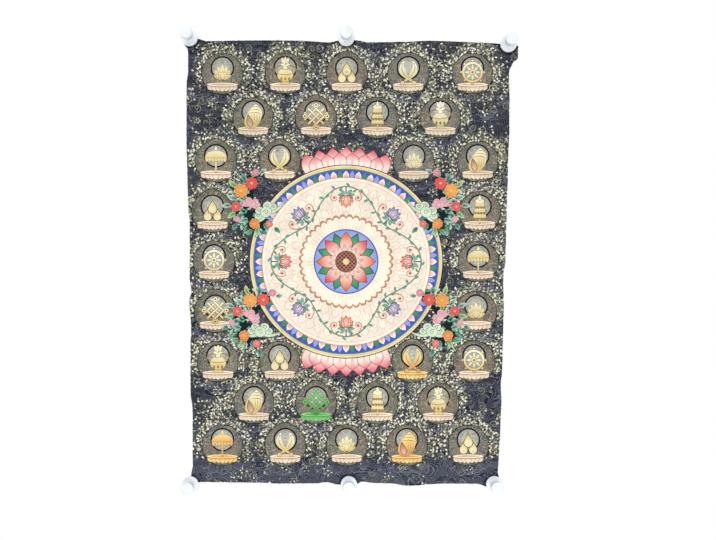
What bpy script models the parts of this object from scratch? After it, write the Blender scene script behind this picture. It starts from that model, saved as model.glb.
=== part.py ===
"""A thangka painted on one bare sheet of cotton, with the six white spool magnets that hold it to a wall.

Metres, +Z up. The origin is the middle of the sheet's top edge, on the plane of the wall (y = 0).
The painted face looks towards -Y, and +X is to the right of someone who looks at it.
"""

from collections import namedtuple
import math

import bmesh
import bpy
from mathutils import Matrix

MM = 0.001

# The sheet: its four cut lines, before the small unevenness of the tables below
LEFT_TOP_X = -229.6 * MM
LEFT_BOTTOM_X = -222.0 * MM
RIGHT_TOP_X = 233.9 * MM
RIGHT_BOTTOM_X = 216.1 * MM
TOP_LEFT_Z = 1.6 * MM
TOP_RIGHT_Z = -1.3 * MM
BOTTOM_LEFT_Z = -630.1 * MM
BOTTOM_RIGHT_Z = -633.0 * MM
CLOTH_THICKNESS = 1.2 * MM

# How finely the sheet is divided, and how much closer the divisions stand near its four edges
COLUMNS = 36
ROWS = 48
EDGE_CROWDING = 0.5

# The magnets: turned plastic spools with a wide foot, a drawn-in waist and a round head
MAGNET_HEIGHT = 25.0 * MM
FOOT_RADIUS = 11.8 * MM
FOOT_HEIGHT = 4.0 * MM
FOOT_BACK_ROUND = 0.6 * MM
FOOT_FRONT_ROUND = 1.3 * MM
WAIST_RADIUS = 5.6 * MM
WAIST_HOLLOW = 1.7 * MM
HEAD_RADIUS = 9.0 * MM
HEAD_HEIGHT = 8.5 * MM
HEAD_INNER_ROUND = 1.0 * MM
HEAD_OUTER_ROUND = 2.4 * MM
HEAD_CROWN = 0.3 * MM
MAGNET_SIDES = 28
SEAT_GAP = 0.3 * MM
WELD_DISTANCE = 0.001 * MM

# Edges sharper than this stay crisp, and the rest shade smooth
SHARP_ANGLE = math.radians(50.0)

# Where the sheet lies flat on the wall: under each magnet, and a patch in its middle
MAGNET_FLAT_RADIUS = 14.0 * MM
MAGNET_EASE_RADIUS = 70.0 * MM
PATCH_CENTRE_X = 0.0
PATCH_CENTRE_Z = -316.0 * MM
PATCH_HALF_SIDE = 35.0 * MM
PATCH_EASE = 60.0 * MM

EdgePoint = namedtuple("EdgePoint", "share outward_mm")
Swell = namedtuple("Swell", "across down half_width half_height lift_mm")
Magnet = namedtuple("Magnet", "node x_mm z_mm")
RoundedCorner = namedtuple("RoundedCorner", "radius_at height_at round_by start_deg end_deg steps")

# Each cut edge, from its first corner (share 0) to its last (share 1). The sheet is pulled out into
# a soft point at each magnet, and was cut a little wavily between them.
LEFT_EDGE = (
    EdgePoint(0.000, 5.0), EdgePoint(0.006, 5.4), EdgePoint(0.022, -1.0), EdgePoint(0.065, -1.0),
    EdgePoint(0.105, 1.3), EdgePoint(0.235, 1.8), EdgePoint(0.330, 1.2), EdgePoint(0.385, 0.8),
    EdgePoint(0.405, -0.9), EdgePoint(0.540, -0.1), EdgePoint(0.568, -2.3), EdgePoint(0.588, 0.7),
    EdgePoint(0.652, -1.8), EdgePoint(0.700, -0.4), EdgePoint(0.800, 0.3), EdgePoint(0.830, -1.9),
    EdgePoint(0.960, -0.9), EdgePoint(0.980, 1.4), EdgePoint(1.000, 3.0),
)
RIGHT_EDGE = (
    EdgePoint(0.000, 10.6), EdgePoint(0.026, 11.0), EdgePoint(0.042, 2.6), EdgePoint(0.058, -1.4),
    EdgePoint(0.130, 0.0), EdgePoint(0.200, 0.8), EdgePoint(0.245, 0.1), EdgePoint(0.390, 0.0),
    EdgePoint(0.493, 0.4), EdgePoint(0.520, -1.7), EdgePoint(0.600, 0.0), EdgePoint(0.740, 0.0),
    EdgePoint(0.768, -1.3), EdgePoint(0.811, 0.5), EdgePoint(0.880, 0.1), EdgePoint(0.930, -0.6),
    EdgePoint(0.968, -1.3), EdgePoint(0.986, 0.9), EdgePoint(1.000, 0.6),
)
TOP_EDGE = (
    EdgePoint(0.000, 1.3), EdgePoint(0.040, 3.8), EdgePoint(0.068, 0.6), EdgePoint(0.200, 1.0),
    EdgePoint(0.350, 1.4), EdgePoint(0.435, -0.3), EdgePoint(0.470, 2.8), EdgePoint(0.500, 3.4),
    EdgePoint(0.525, 2.4), EdgePoint(0.555, -0.1), EdgePoint(0.650, 0.3), EdgePoint(0.740, 1.7),
    EdgePoint(0.885, 0.4), EdgePoint(0.955, -0.9), EdgePoint(1.000, -3.7),
)
BOTTOM_EDGE = (
    EdgePoint(0.000, 1.1), EdgePoint(0.045, -0.6), EdgePoint(0.220, -1.0), EdgePoint(0.290, 0.3),
    EdgePoint(0.410, 0.2), EdgePoint(0.442, -1.5), EdgePoint(0.480, 1.9), EdgePoint(0.508, 3.3),
    EdgePoint(0.535, 1.7), EdgePoint(0.558, -2.6), EdgePoint(0.600, -0.7), EdgePoint(0.650, -0.5),
    EdgePoint(0.700, 2.3), EdgePoint(0.735, 1.9), EdgePoint(0.765, 0.2), EdgePoint(0.820, -1.0),
    EdgePoint(0.930, -0.7), EdgePoint(0.962, 3.6), EdgePoint(1.000, 1.9),
)

# Where the sheet stands off the wall between the magnets. Places are shares across and down.
SWELLS = (
    Swell(0.00, 0.27, 0.11, 0.18, 3.6),
    Swell(0.00, 0.71, 0.09, 0.17, 4.6),
    Swell(1.00, 0.34, 0.12, 0.20, 4.2),
    Swell(1.00, 0.74, 0.09, 0.14, 3.0),
    Swell(0.24, 0.00, 0.13, 0.07, 2.2),
    Swell(0.75, 0.00, 0.14, 0.08, 2.8),
    Swell(0.22, 1.00, 0.14, 0.06, 3.0),
    Swell(0.76, 1.00, 0.13, 0.07, 2.2),
    Swell(0.30, 0.22, 0.16, 0.12, 1.3),
    Swell(0.72, 0.78, 0.17, 0.11, 1.1),
)

MAGNETS = (
    Magnet("magnet_top_left", -226.0, 5.7),
    Magnet("magnet_top_middle", -1.7, 5.7),
    Magnet("magnet_top_right", 230.0, -2.9),
    Magnet("magnet_bottom_left", -224.6, -632.7),
    Magnet("magnet_bottom_middle", 2.0, -632.5),
    Magnet("magnet_bottom_right", 209.9, -632.4),
)


def clear_scene():
    for old in list(bpy.data.objects):
        bpy.data.objects.remove(old, do_unlink=True)


def smooth_step(low, high, value):
    share = min(1.0, max(0.0, (value - low) / (high - low)))
    return share * share * (3.0 - 2.0 * share)


def between(first, last, share):
    return first + (last - first) * share


def outward(edge, share):
    """How far the cut edge lies outside its straight line at this share of its length."""
    for start, end in zip(edge, edge[1:]):
        if share <= end.share:
            turn = smooth_step(start.share, end.share, share)
            return between(start.outward_mm, end.outward_mm, turn) * MM
    return edge[-1].outward_mm * MM


def place_on_sheet(across, down):
    """(x, z) of the point at these shares of the sheet's width and height."""
    left = between(LEFT_TOP_X, LEFT_BOTTOM_X, down) - outward(LEFT_EDGE, down)
    right = between(RIGHT_TOP_X, RIGHT_BOTTOM_X, down) + outward(RIGHT_EDGE, down)
    top = between(TOP_LEFT_Z, TOP_RIGHT_Z, across) + outward(TOP_EDGE, across)
    bottom = between(BOTTOM_LEFT_Z, BOTTOM_RIGHT_Z, across) - outward(BOTTOM_EDGE, across)
    return between(left, right, across), between(top, bottom, down)


def freedom(x, z):
    """0 where the sheet is held flat on the wall, 1 where it hangs free."""
    free = 1.0
    for magnet in MAGNETS:
        distance = math.hypot(x - magnet.x_mm * MM, z - magnet.z_mm * MM)
        free *= smooth_step(MAGNET_FLAT_RADIUS, MAGNET_EASE_RADIUS, distance)
    from_patch = max(abs(x - PATCH_CENTRE_X), abs(z - PATCH_CENTRE_Z))
    return free * smooth_step(PATCH_HALF_SIDE, PATCH_HALF_SIDE + PATCH_EASE, from_patch)


def lift(across, down, x, z):
    """How far the sheet's back stands off the wall."""
    height = 0.0
    for swell in SWELLS:
        sideways = (across - swell.across) / swell.half_width
        upright = (down - swell.down) / swell.half_height
        height += swell.lift_mm * MM * math.exp(-sideways * sideways - upright * upright)
    return height * freedom(x, z)


def crowded_share(index, count):
    """Even shares from 0 to 1, drawn together towards both ends."""
    share = index / count
    return share - EDGE_CROWDING * math.sin(2.0 * math.pi * share) / (2.0 * math.pi)


def material(name, colour, roughness):
    made = bpy.data.materials.new(name)
    made.use_nodes = True
    shader = made.node_tree.nodes["Principled BSDF"]
    shader.inputs["Base Color"].default_value = (*colour, 1.0)
    shader.inputs["Roughness"].default_value = roughness
    return made


def add_object(name, mesh, parent):
    made = bpy.data.objects.new(name, mesh)
    bpy.context.scene.collection.objects.link(made)
    made.parent = parent
    return made


def sheet_mesh():
    """The painted sheet as one closed solid: a front grid, a back grid and the cut rim between them."""
    shape = bmesh.new()
    front = {}
    back = {}
    for row in range(ROWS + 1):
        down = crowded_share(row, ROWS)
        for column in range(COLUMNS + 1):
            across = crowded_share(column, COLUMNS)
            x, z = place_on_sheet(across, down)
            back_y = -lift(across, down, x, z)
            back[column, row] = shape.verts.new((x, back_y, z))
            front[column, row] = shape.verts.new((x, back_y - CLOTH_THICKNESS, z))
    for row in range(ROWS):
        for column in range(COLUMNS):
            ring = ((column, row), (column, row + 1), (column + 1, row + 1), (column + 1, row))
            shape.faces.new([front[place] for place in ring])
            shape.faces.new([back[place] for place in reversed(ring)])
    rim = [(0, row) for row in range(ROWS)]
    rim += [(column, ROWS) for column in range(COLUMNS)]
    rim += [(COLUMNS, row) for row in range(ROWS, 0, -1)]
    rim += [(column, 0) for column in range(COLUMNS, 0, -1)]
    for start, end in zip(rim, rim[1:] + rim[:1]):
        shape.faces.new((front[end], front[start], back[start], back[end]))
    mesh = bpy.data.meshes.new("painted_cloth")
    shape.to_mesh(mesh)
    shape.free()
    return mesh


def corner_points(corner):
    """Points along one rounded corner of the turned profile, as (radius, height)."""
    points = []
    for step in range(corner.steps + 1):
        angle = math.radians(between(corner.start_deg, corner.end_deg, step / corner.steps))
        radius = corner.radius_at + corner.round_by * math.cos(angle)
        points.append((radius, corner.height_at + corner.round_by * math.sin(angle)))
    return points


def lower_corner(radius, base, round_by, steps):
    """A corner that turns from an underside up into a side."""
    return RoundedCorner(radius - round_by, base + round_by, round_by, -90.0, 0.0, steps)


def upper_corner(radius, top, round_by, steps):
    """A corner that turns from a side in over a top."""
    return RoundedCorner(radius - round_by, top - round_by, round_by, 0.0, 90.0, steps)


def waist_corner(lowest, highest, steps):
    """The hollow waist as one arc, from the top of the foot to the underside of the head."""
    half_chord = (highest - lowest) / 2.0
    arc_radius = (half_chord**2 + WAIST_HOLLOW**2) / (2.0 * WAIST_HOLLOW)
    half_turn = math.degrees(math.asin(half_chord / arc_radius))
    middle = (lowest + highest) / 2.0
    start_deg = 180.0 + half_turn
    end_deg = 180.0 - half_turn
    return RoundedCorner(WAIST_RADIUS + arc_radius, middle, arc_radius, start_deg, end_deg, steps)


def magnet_profile():
    """The spool's outline from the middle of its foot to the middle of its crown."""
    head_base = MAGNET_HEIGHT - HEAD_HEIGHT
    corners = (
        lower_corner(FOOT_RADIUS, 0.0, FOOT_BACK_ROUND, 1),
        upper_corner(FOOT_RADIUS, FOOT_HEIGHT, FOOT_FRONT_ROUND, 3),
        waist_corner(FOOT_HEIGHT, head_base, 4),
        lower_corner(HEAD_RADIUS, head_base, HEAD_INNER_ROUND, 2),
        upper_corner(HEAD_RADIUS, MAGNET_HEIGHT, HEAD_OUTER_ROUND, 3),
    )
    points = [(0.0, 0.0)]
    for corner in corners:
        points += corner_points(corner)
    points.append((0.0, MAGNET_HEIGHT + HEAD_CROWN))
    return points


def magnet_mesh(white):
    """One spool turned about its own Z axis, foot at z = 0."""
    shape = bmesh.new()
    points = [shape.verts.new((radius, 0.0, height)) for radius, height in magnet_profile()]
    edges = [shape.edges.new(pair) for pair in zip(points, points[1:])]
    bmesh.ops.spin(
        shape,
        geom=points + edges,
        cent=(0.0, 0.0, 0.0),
        axis=(0.0, 0.0, 1.0),
        angle=2.0 * math.pi,
        steps=MAGNET_SIDES,
        use_merge=True,
    )
    bmesh.ops.remove_doubles(shape, verts=shape.verts, dist=WELD_DISTANCE)
    bmesh.ops.recalc_face_normals(shape, faces=shape.faces)
    mesh = bpy.data.meshes.new("magnet")
    shape.to_mesh(mesh)
    shape.free()
    mesh.materials.append(white)
    mesh.shade_smooth()
    mesh.set_sharp_from_angle(angle=SHARP_ANGLE)
    return mesh


def add_painted_cloth(parent):
    mesh = sheet_mesh()
    mesh.materials.append(material("painted_cotton", (0.045, 0.05, 0.075), 0.8))
    mesh.shade_smooth()
    mesh.set_sharp_from_angle(angle=SHARP_ANGLE)
    add_object("painted_cloth", mesh, parent)


def add_magnets(parent):
    mesh = magnet_mesh(material("white_plastic", (0.86, 0.86, 0.85), 0.35))
    seat_y = -(CLOTH_THICKNESS + SEAT_GAP)
    for magnet in MAGNETS:
        spool = add_object(magnet.node, mesh, parent)
        spool.rotation_euler = Matrix.Rotation(math.radians(90.0), 3, "X").to_euler()
        spool.location = (magnet.x_mm * MM, seat_y, magnet.z_mm * MM)


clear_scene()
hanging = add_object("thangka_hanging", None, None)
add_painted_cloth(hanging)
add_magnets(hanging)
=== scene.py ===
"""The looks of a thangka painted on one bare sheet of cotton and held up by six white spool magnets."""

from collections import namedtuple
import math
import random

import bpy
import numpy as np
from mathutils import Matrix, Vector
from mathutils.bvhtree import BVHTree
from mathutils.geometry import delaunay_2d_cdt


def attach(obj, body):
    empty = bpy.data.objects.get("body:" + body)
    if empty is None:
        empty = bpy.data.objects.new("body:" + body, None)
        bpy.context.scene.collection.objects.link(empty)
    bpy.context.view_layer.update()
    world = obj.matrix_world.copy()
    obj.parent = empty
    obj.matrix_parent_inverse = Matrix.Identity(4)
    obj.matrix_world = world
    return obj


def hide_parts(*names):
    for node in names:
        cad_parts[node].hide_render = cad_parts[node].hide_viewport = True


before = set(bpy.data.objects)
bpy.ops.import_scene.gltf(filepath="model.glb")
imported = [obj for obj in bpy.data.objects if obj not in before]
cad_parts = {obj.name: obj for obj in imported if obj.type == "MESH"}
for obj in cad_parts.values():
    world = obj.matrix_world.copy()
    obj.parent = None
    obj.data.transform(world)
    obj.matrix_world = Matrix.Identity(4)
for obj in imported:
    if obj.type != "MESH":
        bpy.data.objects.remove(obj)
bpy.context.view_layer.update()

MM = 0.001


# The sheet. One piece of plain-woven cotton, sized with glue and chalk and cut by hand, so that its
# four edges are raw and a little wavy. It is pulled out to a soft point at each magnet, and between
# the magnets it stands a few millimetres off the wall. Lengths are in millimetres on the sheet.
LEFT_X = (-229.6, -222.0)
RIGHT_X = (233.9, 216.1)
TOP_Z = (1.6, -1.3)
BOTTOM_Z = (-630.1, -633.0)
CUT_STEP = 2.4
CUT_ROUGHNESS = 0.22
CUT_SEED = 4
MAGNET_FLAT_RADIUS = 14.0
MAGNET_EASE_RADIUS = 70.0
PATCH_CENTRE = (0.0, -316.0)
PATCH_HALF_SIDE = 35.0
PATCH_EASE = 60.0

Swell = namedtuple("Swell", "across down half_width half_height lift")
Magnet = namedtuple("Magnet", "node x z")

LEFT_EDGE = (
    (0.000, 5.0), (0.006, 5.4), (0.022, -1.0), (0.065, -1.0), (0.105, 1.3), (0.235, 1.8), (0.330, 1.2),
    (0.385, 0.8), (0.405, -0.9), (0.540, -0.1), (0.568, -2.3), (0.588, 0.7), (0.652, -1.8), (0.700, -0.4),
    (0.800, 0.3), (0.830, -1.9), (0.960, -0.9), (0.980, 1.4), (1.000, 3.0),
)
RIGHT_EDGE = (
    (0.000, 10.6), (0.026, 11.0), (0.042, 2.6), (0.058, -1.4), (0.130, 0.0), (0.200, 0.8), (0.245, 0.1),
    (0.390, 0.0), (0.493, 0.4), (0.520, -1.7), (0.600, 0.0), (0.740, 0.0), (0.768, -1.3), (0.811, 0.5),
    (0.880, 0.1), (0.930, -0.6), (0.968, -1.3), (0.986, 0.9), (1.000, 0.6),
)
TOP_EDGE = (
    (0.000, 1.3), (0.040, 3.8), (0.068, 0.6), (0.200, 1.0), (0.350, 1.4), (0.435, -0.3), (0.470, 2.8),
    (0.500, 3.4), (0.525, 2.4), (0.555, -0.1), (0.650, 0.3), (0.740, 1.7), (0.885, 0.4), (0.955, -0.9),
    (1.000, -3.7),
)
BOTTOM_EDGE = (
    (0.000, 1.1), (0.045, -0.6), (0.220, -1.0), (0.290, 0.3), (0.410, 0.2), (0.442, -1.5), (0.480, 1.9),
    (0.508, 3.3), (0.535, 1.7), (0.558, -2.6), (0.600, -0.7), (0.650, -0.5), (0.700, 2.3), (0.735, 1.9),
    (0.765, 0.2), (0.820, -1.0), (0.930, -0.7), (0.962, 3.6), (1.000, 1.9),
)
SWELLS = (
    Swell(0.00, 0.27, 0.11, 0.18, 3.6),
    Swell(0.00, 0.71, 0.09, 0.17, 4.6),
    Swell(1.00, 0.34, 0.12, 0.20, 4.2),
    Swell(1.00, 0.74, 0.09, 0.14, 3.0),
    Swell(0.24, 0.00, 0.13, 0.07, 2.2),
    Swell(0.75, 0.00, 0.14, 0.08, 2.8),
    Swell(0.22, 1.00, 0.14, 0.06, 3.0),
    Swell(0.76, 1.00, 0.13, 0.07, 2.2),
    Swell(0.30, 0.22, 0.16, 0.12, 1.3),
    Swell(0.72, 0.78, 0.17, 0.11, 1.1),
)
MAGNETS = (
    Magnet("magnet_top_left", -226.0, 5.7),
    Magnet("magnet_top_middle", -1.7, 5.7),
    Magnet("magnet_top_right", 230.0, -2.9),
    Magnet("magnet_bottom_left", -224.6, -632.7),
    Magnet("magnet_bottom_middle", 2.0, -632.5),
    Magnet("magnet_bottom_right", 209.9, -632.4),
)


def smooth_step(low, high, value):
    share = np.clip((value - low) / (high - low), 0.0, 1.0)
    return share * share * (3.0 - 2.0 * share)


def between(ends, share):
    return ends[0] + (ends[1] - ends[0]) * share


def outward(edge, share):
    """How far the cut lies outside the edge's straight line at this share of its length.

    An edge is a row of such shares, each with its own distance, and swings softly between them.
    """
    for (start, start_out), (end, end_out) in zip(edge, edge[1:]):
        if share <= end:
            return between((start_out, end_out), float(smooth_step(start, end, share)))
    return edge[-1][1]


def place_on_sheet(across, down):
    """(x, z) of the point at these shares of the sheet's width and height."""
    left = between(LEFT_X, down) - outward(LEFT_EDGE, down)
    right = between(RIGHT_X, down) + outward(RIGHT_EDGE, down)
    top = between(TOP_Z, across) + outward(TOP_EDGE, across)
    bottom = between(BOTTOM_Z, across) - outward(BOTTOM_EDGE, across)
    return between((left, right), across), between((top, bottom), down)


def share_down(z):
    return (z - TOP_Z[0]) / (BOTTOM_Z[0] - TOP_Z[0])


def lift_of(x, z):
    """How far the sheet stands off the wall at these places, which are arrays.

    It lies flat at every magnet and on a square patch in its middle.
    """
    down = share_down(z)
    left, right = between(LEFT_X, down), between(RIGHT_X, down)
    across = (x - left) / (right - left)
    height = np.zeros_like(x)
    for swell in SWELLS:
        sideways = (across - swell.across) / swell.half_width
        upright = (down - swell.down) / swell.half_height
        height += swell.lift * np.exp(-sideways * sideways - upright * upright)
    for magnet in MAGNETS:
        distance = np.hypot(x - magnet.x, z - magnet.z)
        height *= smooth_step(MAGNET_FLAT_RADIUS, MAGNET_EASE_RADIUS, distance)
    from_patch = np.maximum(np.abs(x - PATCH_CENTRE[0]), np.abs(z - PATCH_CENTRE[1]))
    return height * smooth_step(PATCH_HALF_SIDE, PATCH_HALF_SIDE + PATCH_EASE, from_patch)


def steps_over(length):
    """How many steps of this length fit across the sheet and down it."""
    return int((RIGHT_X[0] - LEFT_X[0]) / length), int((TOP_Z[0] - BOTTOM_Z[0]) / length)


def cut_outline():
    """The cut edge as one closed line, anticlockwise as seen from the front, rough as shears leave it."""
    shears = random.Random(CUT_SEED)
    wide, tall = steps_over(CUT_STEP)
    shares = [(0.0, row / tall) for row in range(tall)]
    shares += [(column / wide, 1.0) for column in range(wide)]
    shares += [(1.0, 1.0 - row / tall) for row in range(tall)]
    shares += [(1.0 - column / wide, 0.0) for column in range(wide)]
    line = [place_on_sheet(across, down) for across, down in shares]
    return [
        (x + shears.uniform(-1, 1) * CUT_ROUGHNESS, z + shears.uniform(-1, 1) * CUT_ROUGHNESS)
        for x, z in line
    ]


sheet_outline = cut_outline()


# The painting's ground and brushes. The whole face is laid in with a near-black navy distemper, and
# everything else is brushed over it in flat and shaded colours with fine lines. Each brushed shape
# is an outline on the sheet with its colour, and a later one covers an earlier one.
NAVY = (29, 32, 45)

painted_points = []
painted_shapes = []
painted_looks = []

Look = namedtuple("Look", "first last origin reach round_fade gilt filigree")


def polygon_area(outline):
    """The area inside a closed line, more than 0 where it runs anticlockwise."""
    return sum(a[0] * b[1] - b[0] * a[1] for a, b in zip(outline, outline[1:] + outline[:1])) / 2.0


def lay(outline, first, last=None, origin=(0.0, 0.0), reach=(0.0, 1.0), round_fade=False,
        gilt=0.0, filigree=0.0):
    """Paints one closed shape. Its colour goes from first at origin to last at reach away from it."""
    if polygon_area(outline) < 0.0:
        outline = outline[::-1]
    start = len(painted_points)
    painted_points.extend(outline)
    painted_shapes.append(range(start, start + len(outline)))
    painted_looks.append(Look(first, last or first, origin, reach, round_fade, gilt, filigree))


def around(reach, turn):
    """The place at this reach and angle from the middle."""
    return reach * math.cos(turn), reach * math.sin(turn)


def turns_round(count, offset=0.0):
    """Angles spaced evenly round a circle."""
    return [2.0 * math.pi * (step + offset) / count for step in range(count)]


class Brush:
    """A place, turn and size on the sheet, in which a motif is painted in its own millimetres."""

    def __init__(self, x, z, turn=0.0, size=1.0, mirrored=False):
        self.x, self.z, self.turn, self.size = x, z, turn, size
        self.side = -1.0 if mirrored else 1.0
        self.cos, self.sin = math.cos(turn), math.sin(turn)

    def place(self, across, up):
        across *= self.side * self.size
        up *= self.size
        return self.x + across * self.cos - up * self.sin, self.z + across * self.sin + up * self.cos

    def inside(self, across, up, turn=0.0, size=1.0, mirrored=False):
        x, z = self.place(across, up)
        made = Brush(x, z, self.turn + self.side * turn, self.size * size)
        made.side = -self.side if mirrored else self.side
        return made

    def facing_out(self, reach, turn):
        """The brush at this reach and angle, with its top turned away from this one's middle."""
        return self.inside(*around(reach, turn), turn - math.pi / 2)

    def lay(self, outline, first, last=None, origin=(0.0, 0.0), reach=None, **more):
        points = [self.place(*point) for point in outline]
        if last is None:
            lay(points, first, **more)
        elif isinstance(reach, tuple):
            x, z = self.place(*origin)
            far_x, far_z = self.place(origin[0] + reach[0], origin[1] + reach[1])
            lay(points, first, last, (x, z), (far_x - x, far_z - z), **more)
        else:
            lay(points, first, last, self.place(*origin), (reach * self.size, 0.0), True, **more)


def circle(radius, count, across=0.0, up=0.0, squash=1.0):
    return [
        (across + radius * math.cos(turn), up + radius * squash * math.sin(turn))
        for turn in turns_round(count)
    ]


def petal(length, width, steps=4, root=0.3, bulge=0.75):
    """A petal or leaf that stands on the origin and points up, round at the root and sharp at the tip."""
    right = []
    for step in range(steps):
        share = step / steps
        held = root * (1.0 - share)
        half = width / 2.0 * (math.sin(math.pi * share**bulge) * (1.0 - held) + held)
        right.append((half, length * share))
    left = [(-across, up) for across, up in reversed(right)]
    return right + [(0.0, length)] + left


def moved(outline, across=0.0, up=0.0, turn=0.0):
    """A shape turned about the origin and then set down at a place."""
    cos, sin = math.cos(turn), math.sin(turn)
    return [(across + a * cos - b * sin, up + a * sin + b * cos) for a, b in outline]


def scaled(outline, across, up, lift=0.0):
    """A shape at these shares of its width and height, lifted a little off its root."""
    return [(a * across, lift + b * up) for a, b in outline]


def ray(reach, turn, length, root):
    """A thin stroke at this reach and angle that runs outwards."""
    return moved(petal(length, 0.8, 2, root), *around(reach, turn), turn - math.pi / 2)


def ribbon(path, start_width, end_width=None, middle_width=None):
    """A stroke along a path, as wide as asked at its start, middle and end."""
    end_width = start_width if end_width is None else end_width
    middle_width = (start_width + end_width) / 2.0 if middle_width is None else middle_width
    one, other = [], []
    last = len(path) - 1
    for index, (across, up) in enumerate(path):
        ahead = path[min(index + 1, last)]
        behind = path[max(index - 1, 0)]
        along = math.hypot(ahead[0] - behind[0], ahead[1] - behind[1]) or 1.0
        share = index / last
        if share < 0.5:
            half = between((start_width, middle_width), share * 2.0) / 2.0
        else:
            half = between((middle_width, end_width), share * 2.0 - 1.0) / 2.0
        side = (-(ahead[1] - behind[1]) / along * half, (ahead[0] - behind[0]) / along * half)
        one.append((across - side[0], up - side[1]))
        other.append((across + side[0], up + side[1]))
    return one + other[::-1]


def spiral(outer, inner, start_deg, turn_deg, steps, across=0.0, up=0.0):
    """A path that winds in from the outer radius to the inner one."""
    path = []
    for step in range(steps + 1):
        share = step / steps
        turn = math.radians(start_deg + turn_deg * share)
        radius = between((outer, inner), share)
        path.append((across + radius * math.cos(turn), up + radius * math.sin(turn)))
    return path


def bend(start, control, end, steps):
    """A path from start to end that leans towards the control point."""
    path = []
    for step in range(steps + 1):
        share = step / steps
        a, b, c = (1 - share) ** 2, 2 * share * (1 - share), share**2
        path.append(tuple(a * s + b * m + c * e for s, m, e in zip(start, control, end)))
    return path


def scalloped(radius, lobes, depth, steps, across=0.0, up=0.0):
    """A round shape with a frilled rim."""
    outline = []
    for turn in turns_round(lobes * steps):
        reach = radius * (1.0 - depth + depth * abs(math.sin(lobes * turn / 2.0)) ** 0.7)
        outline.append((across + reach * math.cos(turn), up + reach * math.sin(turn)))
    return outline


lay(sheet_outline, NAVY, filigree=1.0)


# The layout. A round lotus medallion stands in the middle of the sheet, with three staggered rows of
# small roundels above it and three below, a column of them down each side, and flower sprays at
# its shoulders. Scrolling leaves fill the ground between them.
MEDALLION_X, MEDALLION_Z = -2.0, -314.0
MEDALLION_SIZE = 1.12
MEDALLION_RADIUS = 124.0
ROUNDEL_RADIUS = 30.0
WATER_Z = -601.0
WATER_BLUR = 12.0
CROWN_GAP = 4.0
CROWN_WIDTH = 9.0

Row = namedtuple("Row", "height places")
ROUNDEL_ROWS = (
    Row(-45.0, (-178.0, -88.0, 0.0, 88.0, 180.0)),
    Row(-108.0, (-134.0, -44.0, 44.0, 134.0)),
    Row(-171.0, (-187.0, -96.0, 96.0, 187.0)),
    Row(-243.0, (-192.0, 190.0)),
    Row(-314.0, (-190.0, 188.0)),
    Row(-386.0, (-188.0, 185.0)),
    Row(-457.0, (-184.0, -96.0, 94.0, 182.0)),
    Row(-517.0, (-133.0, -44.0, 44.0, 131.0)),
    Row(-577.0, (-178.0, -88.0, 0.0, 86.0, 174.0)),
)
roundel_places = [(across - 1.0, row.height) for row in ROUNDEL_ROWS for across in row.places]


def open_ground(x, z):
    """How far this place lies outside the nearest roundel or the medallion."""
    reach = math.hypot(x - MEDALLION_X, z - MEDALLION_Z) - MEDALLION_RADIUS * MEDALLION_SIZE
    for place in roundel_places:
        reach = min(reach, math.hypot(x - place[0], z - place[1]) - ROUNDEL_RADIUS)
    return reach


def foliage_at(x, z):
    """How thickly leaves grow at these places: most in a crown over each roundel, least on the water."""
    patches = 0.5 + 0.5 * np.sin(x / 23.0 + 1.9 * np.sin(z / 33.0)) * np.cos(z / 27.0 + x / 70.0)
    thick = 0.02 + (0.20 + 0.85 * share_down(z)) * patches**3
    for place in roundel_places:
        away = np.hypot(x - place[0], z - place[1])
        upward = smooth_step(-0.75, 0.2, (z - place[1]) / np.maximum(away, 1.0))
        crown = np.exp(-(((away - ROUNDEL_RADIUS - CROWN_GAP) / CROWN_WIDTH) ** 2))
        thick = np.maximum(thick, crown * (0.08 + 1.17 * upward))
    return thick * (0.15 + 0.85 * smooth_step(WATER_Z - WATER_BLUR, WATER_Z + WATER_BLUR, z))


def scattered(count, apart, chance, seed):
    """Places on the open ground, no nearer to each other than asked, kept by the given chance."""
    draw = random.Random(seed)
    kept = {}
    places = []
    for _ in range(count):
        x = draw.uniform(LEFT_X[0] + 2.0, RIGHT_X[0] - 2.0)
        z = draw.uniform(BOTTOM_Z[0] + 2.0, TOP_Z[0] - 2.0)
        if draw.random() > chance(x, z):
            continue
        cell = int(x // apart), int(z // apart)
        near = [kept.get((cell[0] + i, cell[1] + j)) for i in (-1, 0, 1) for j in (-1, 0, 1)]
        if any(other and math.hypot(x - other[0], z - other[1]) < apart for other in near):
            continue
        kept[cell] = (x, z)
        places.append((x, z))
    return places


# Clouds and water. Thin slate lines run over the bare ground: small curled clouds with long tails
# all over it, and rows of combed waves along its foot. They are drawn first, so leaves cover them.
SLATE = (84, 89, 108)
MIST = (120, 125, 140)
CLOUD_CURLS = 100
WAVE_ROWS = 4
WAVES_IN_ROW = 27
WAVE_PITCH = 17.0
WAVE_ROW_PITCH = 8.0


def cloud_curl(brush, colour):
    brush.lay(ribbon(spiral(5.2, 1.0, 200, -430, 12), 0.75, 0.35), colour)
    brush.lay(ribbon(bend((-5.0, -1.5), (4.0, -9.0), (19.0, -4.5), 6), 0.3, 0.25, 0.9), colour)
    brush.lay(ribbon(bend((-3.0, -3.6), (5.0, -12.0), (24.0, -7.5), 6), 0.3, 0.25, 0.8), colour)


def wave(brush, colour):
    for ring in range(3):
        reach = WAVE_PITCH * (0.5 - 0.13 * ring)
        brush.lay(ribbon(spiral(reach, reach, 12, 156, 6), 0.3, 0.3, 0.75), colour)


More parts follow.
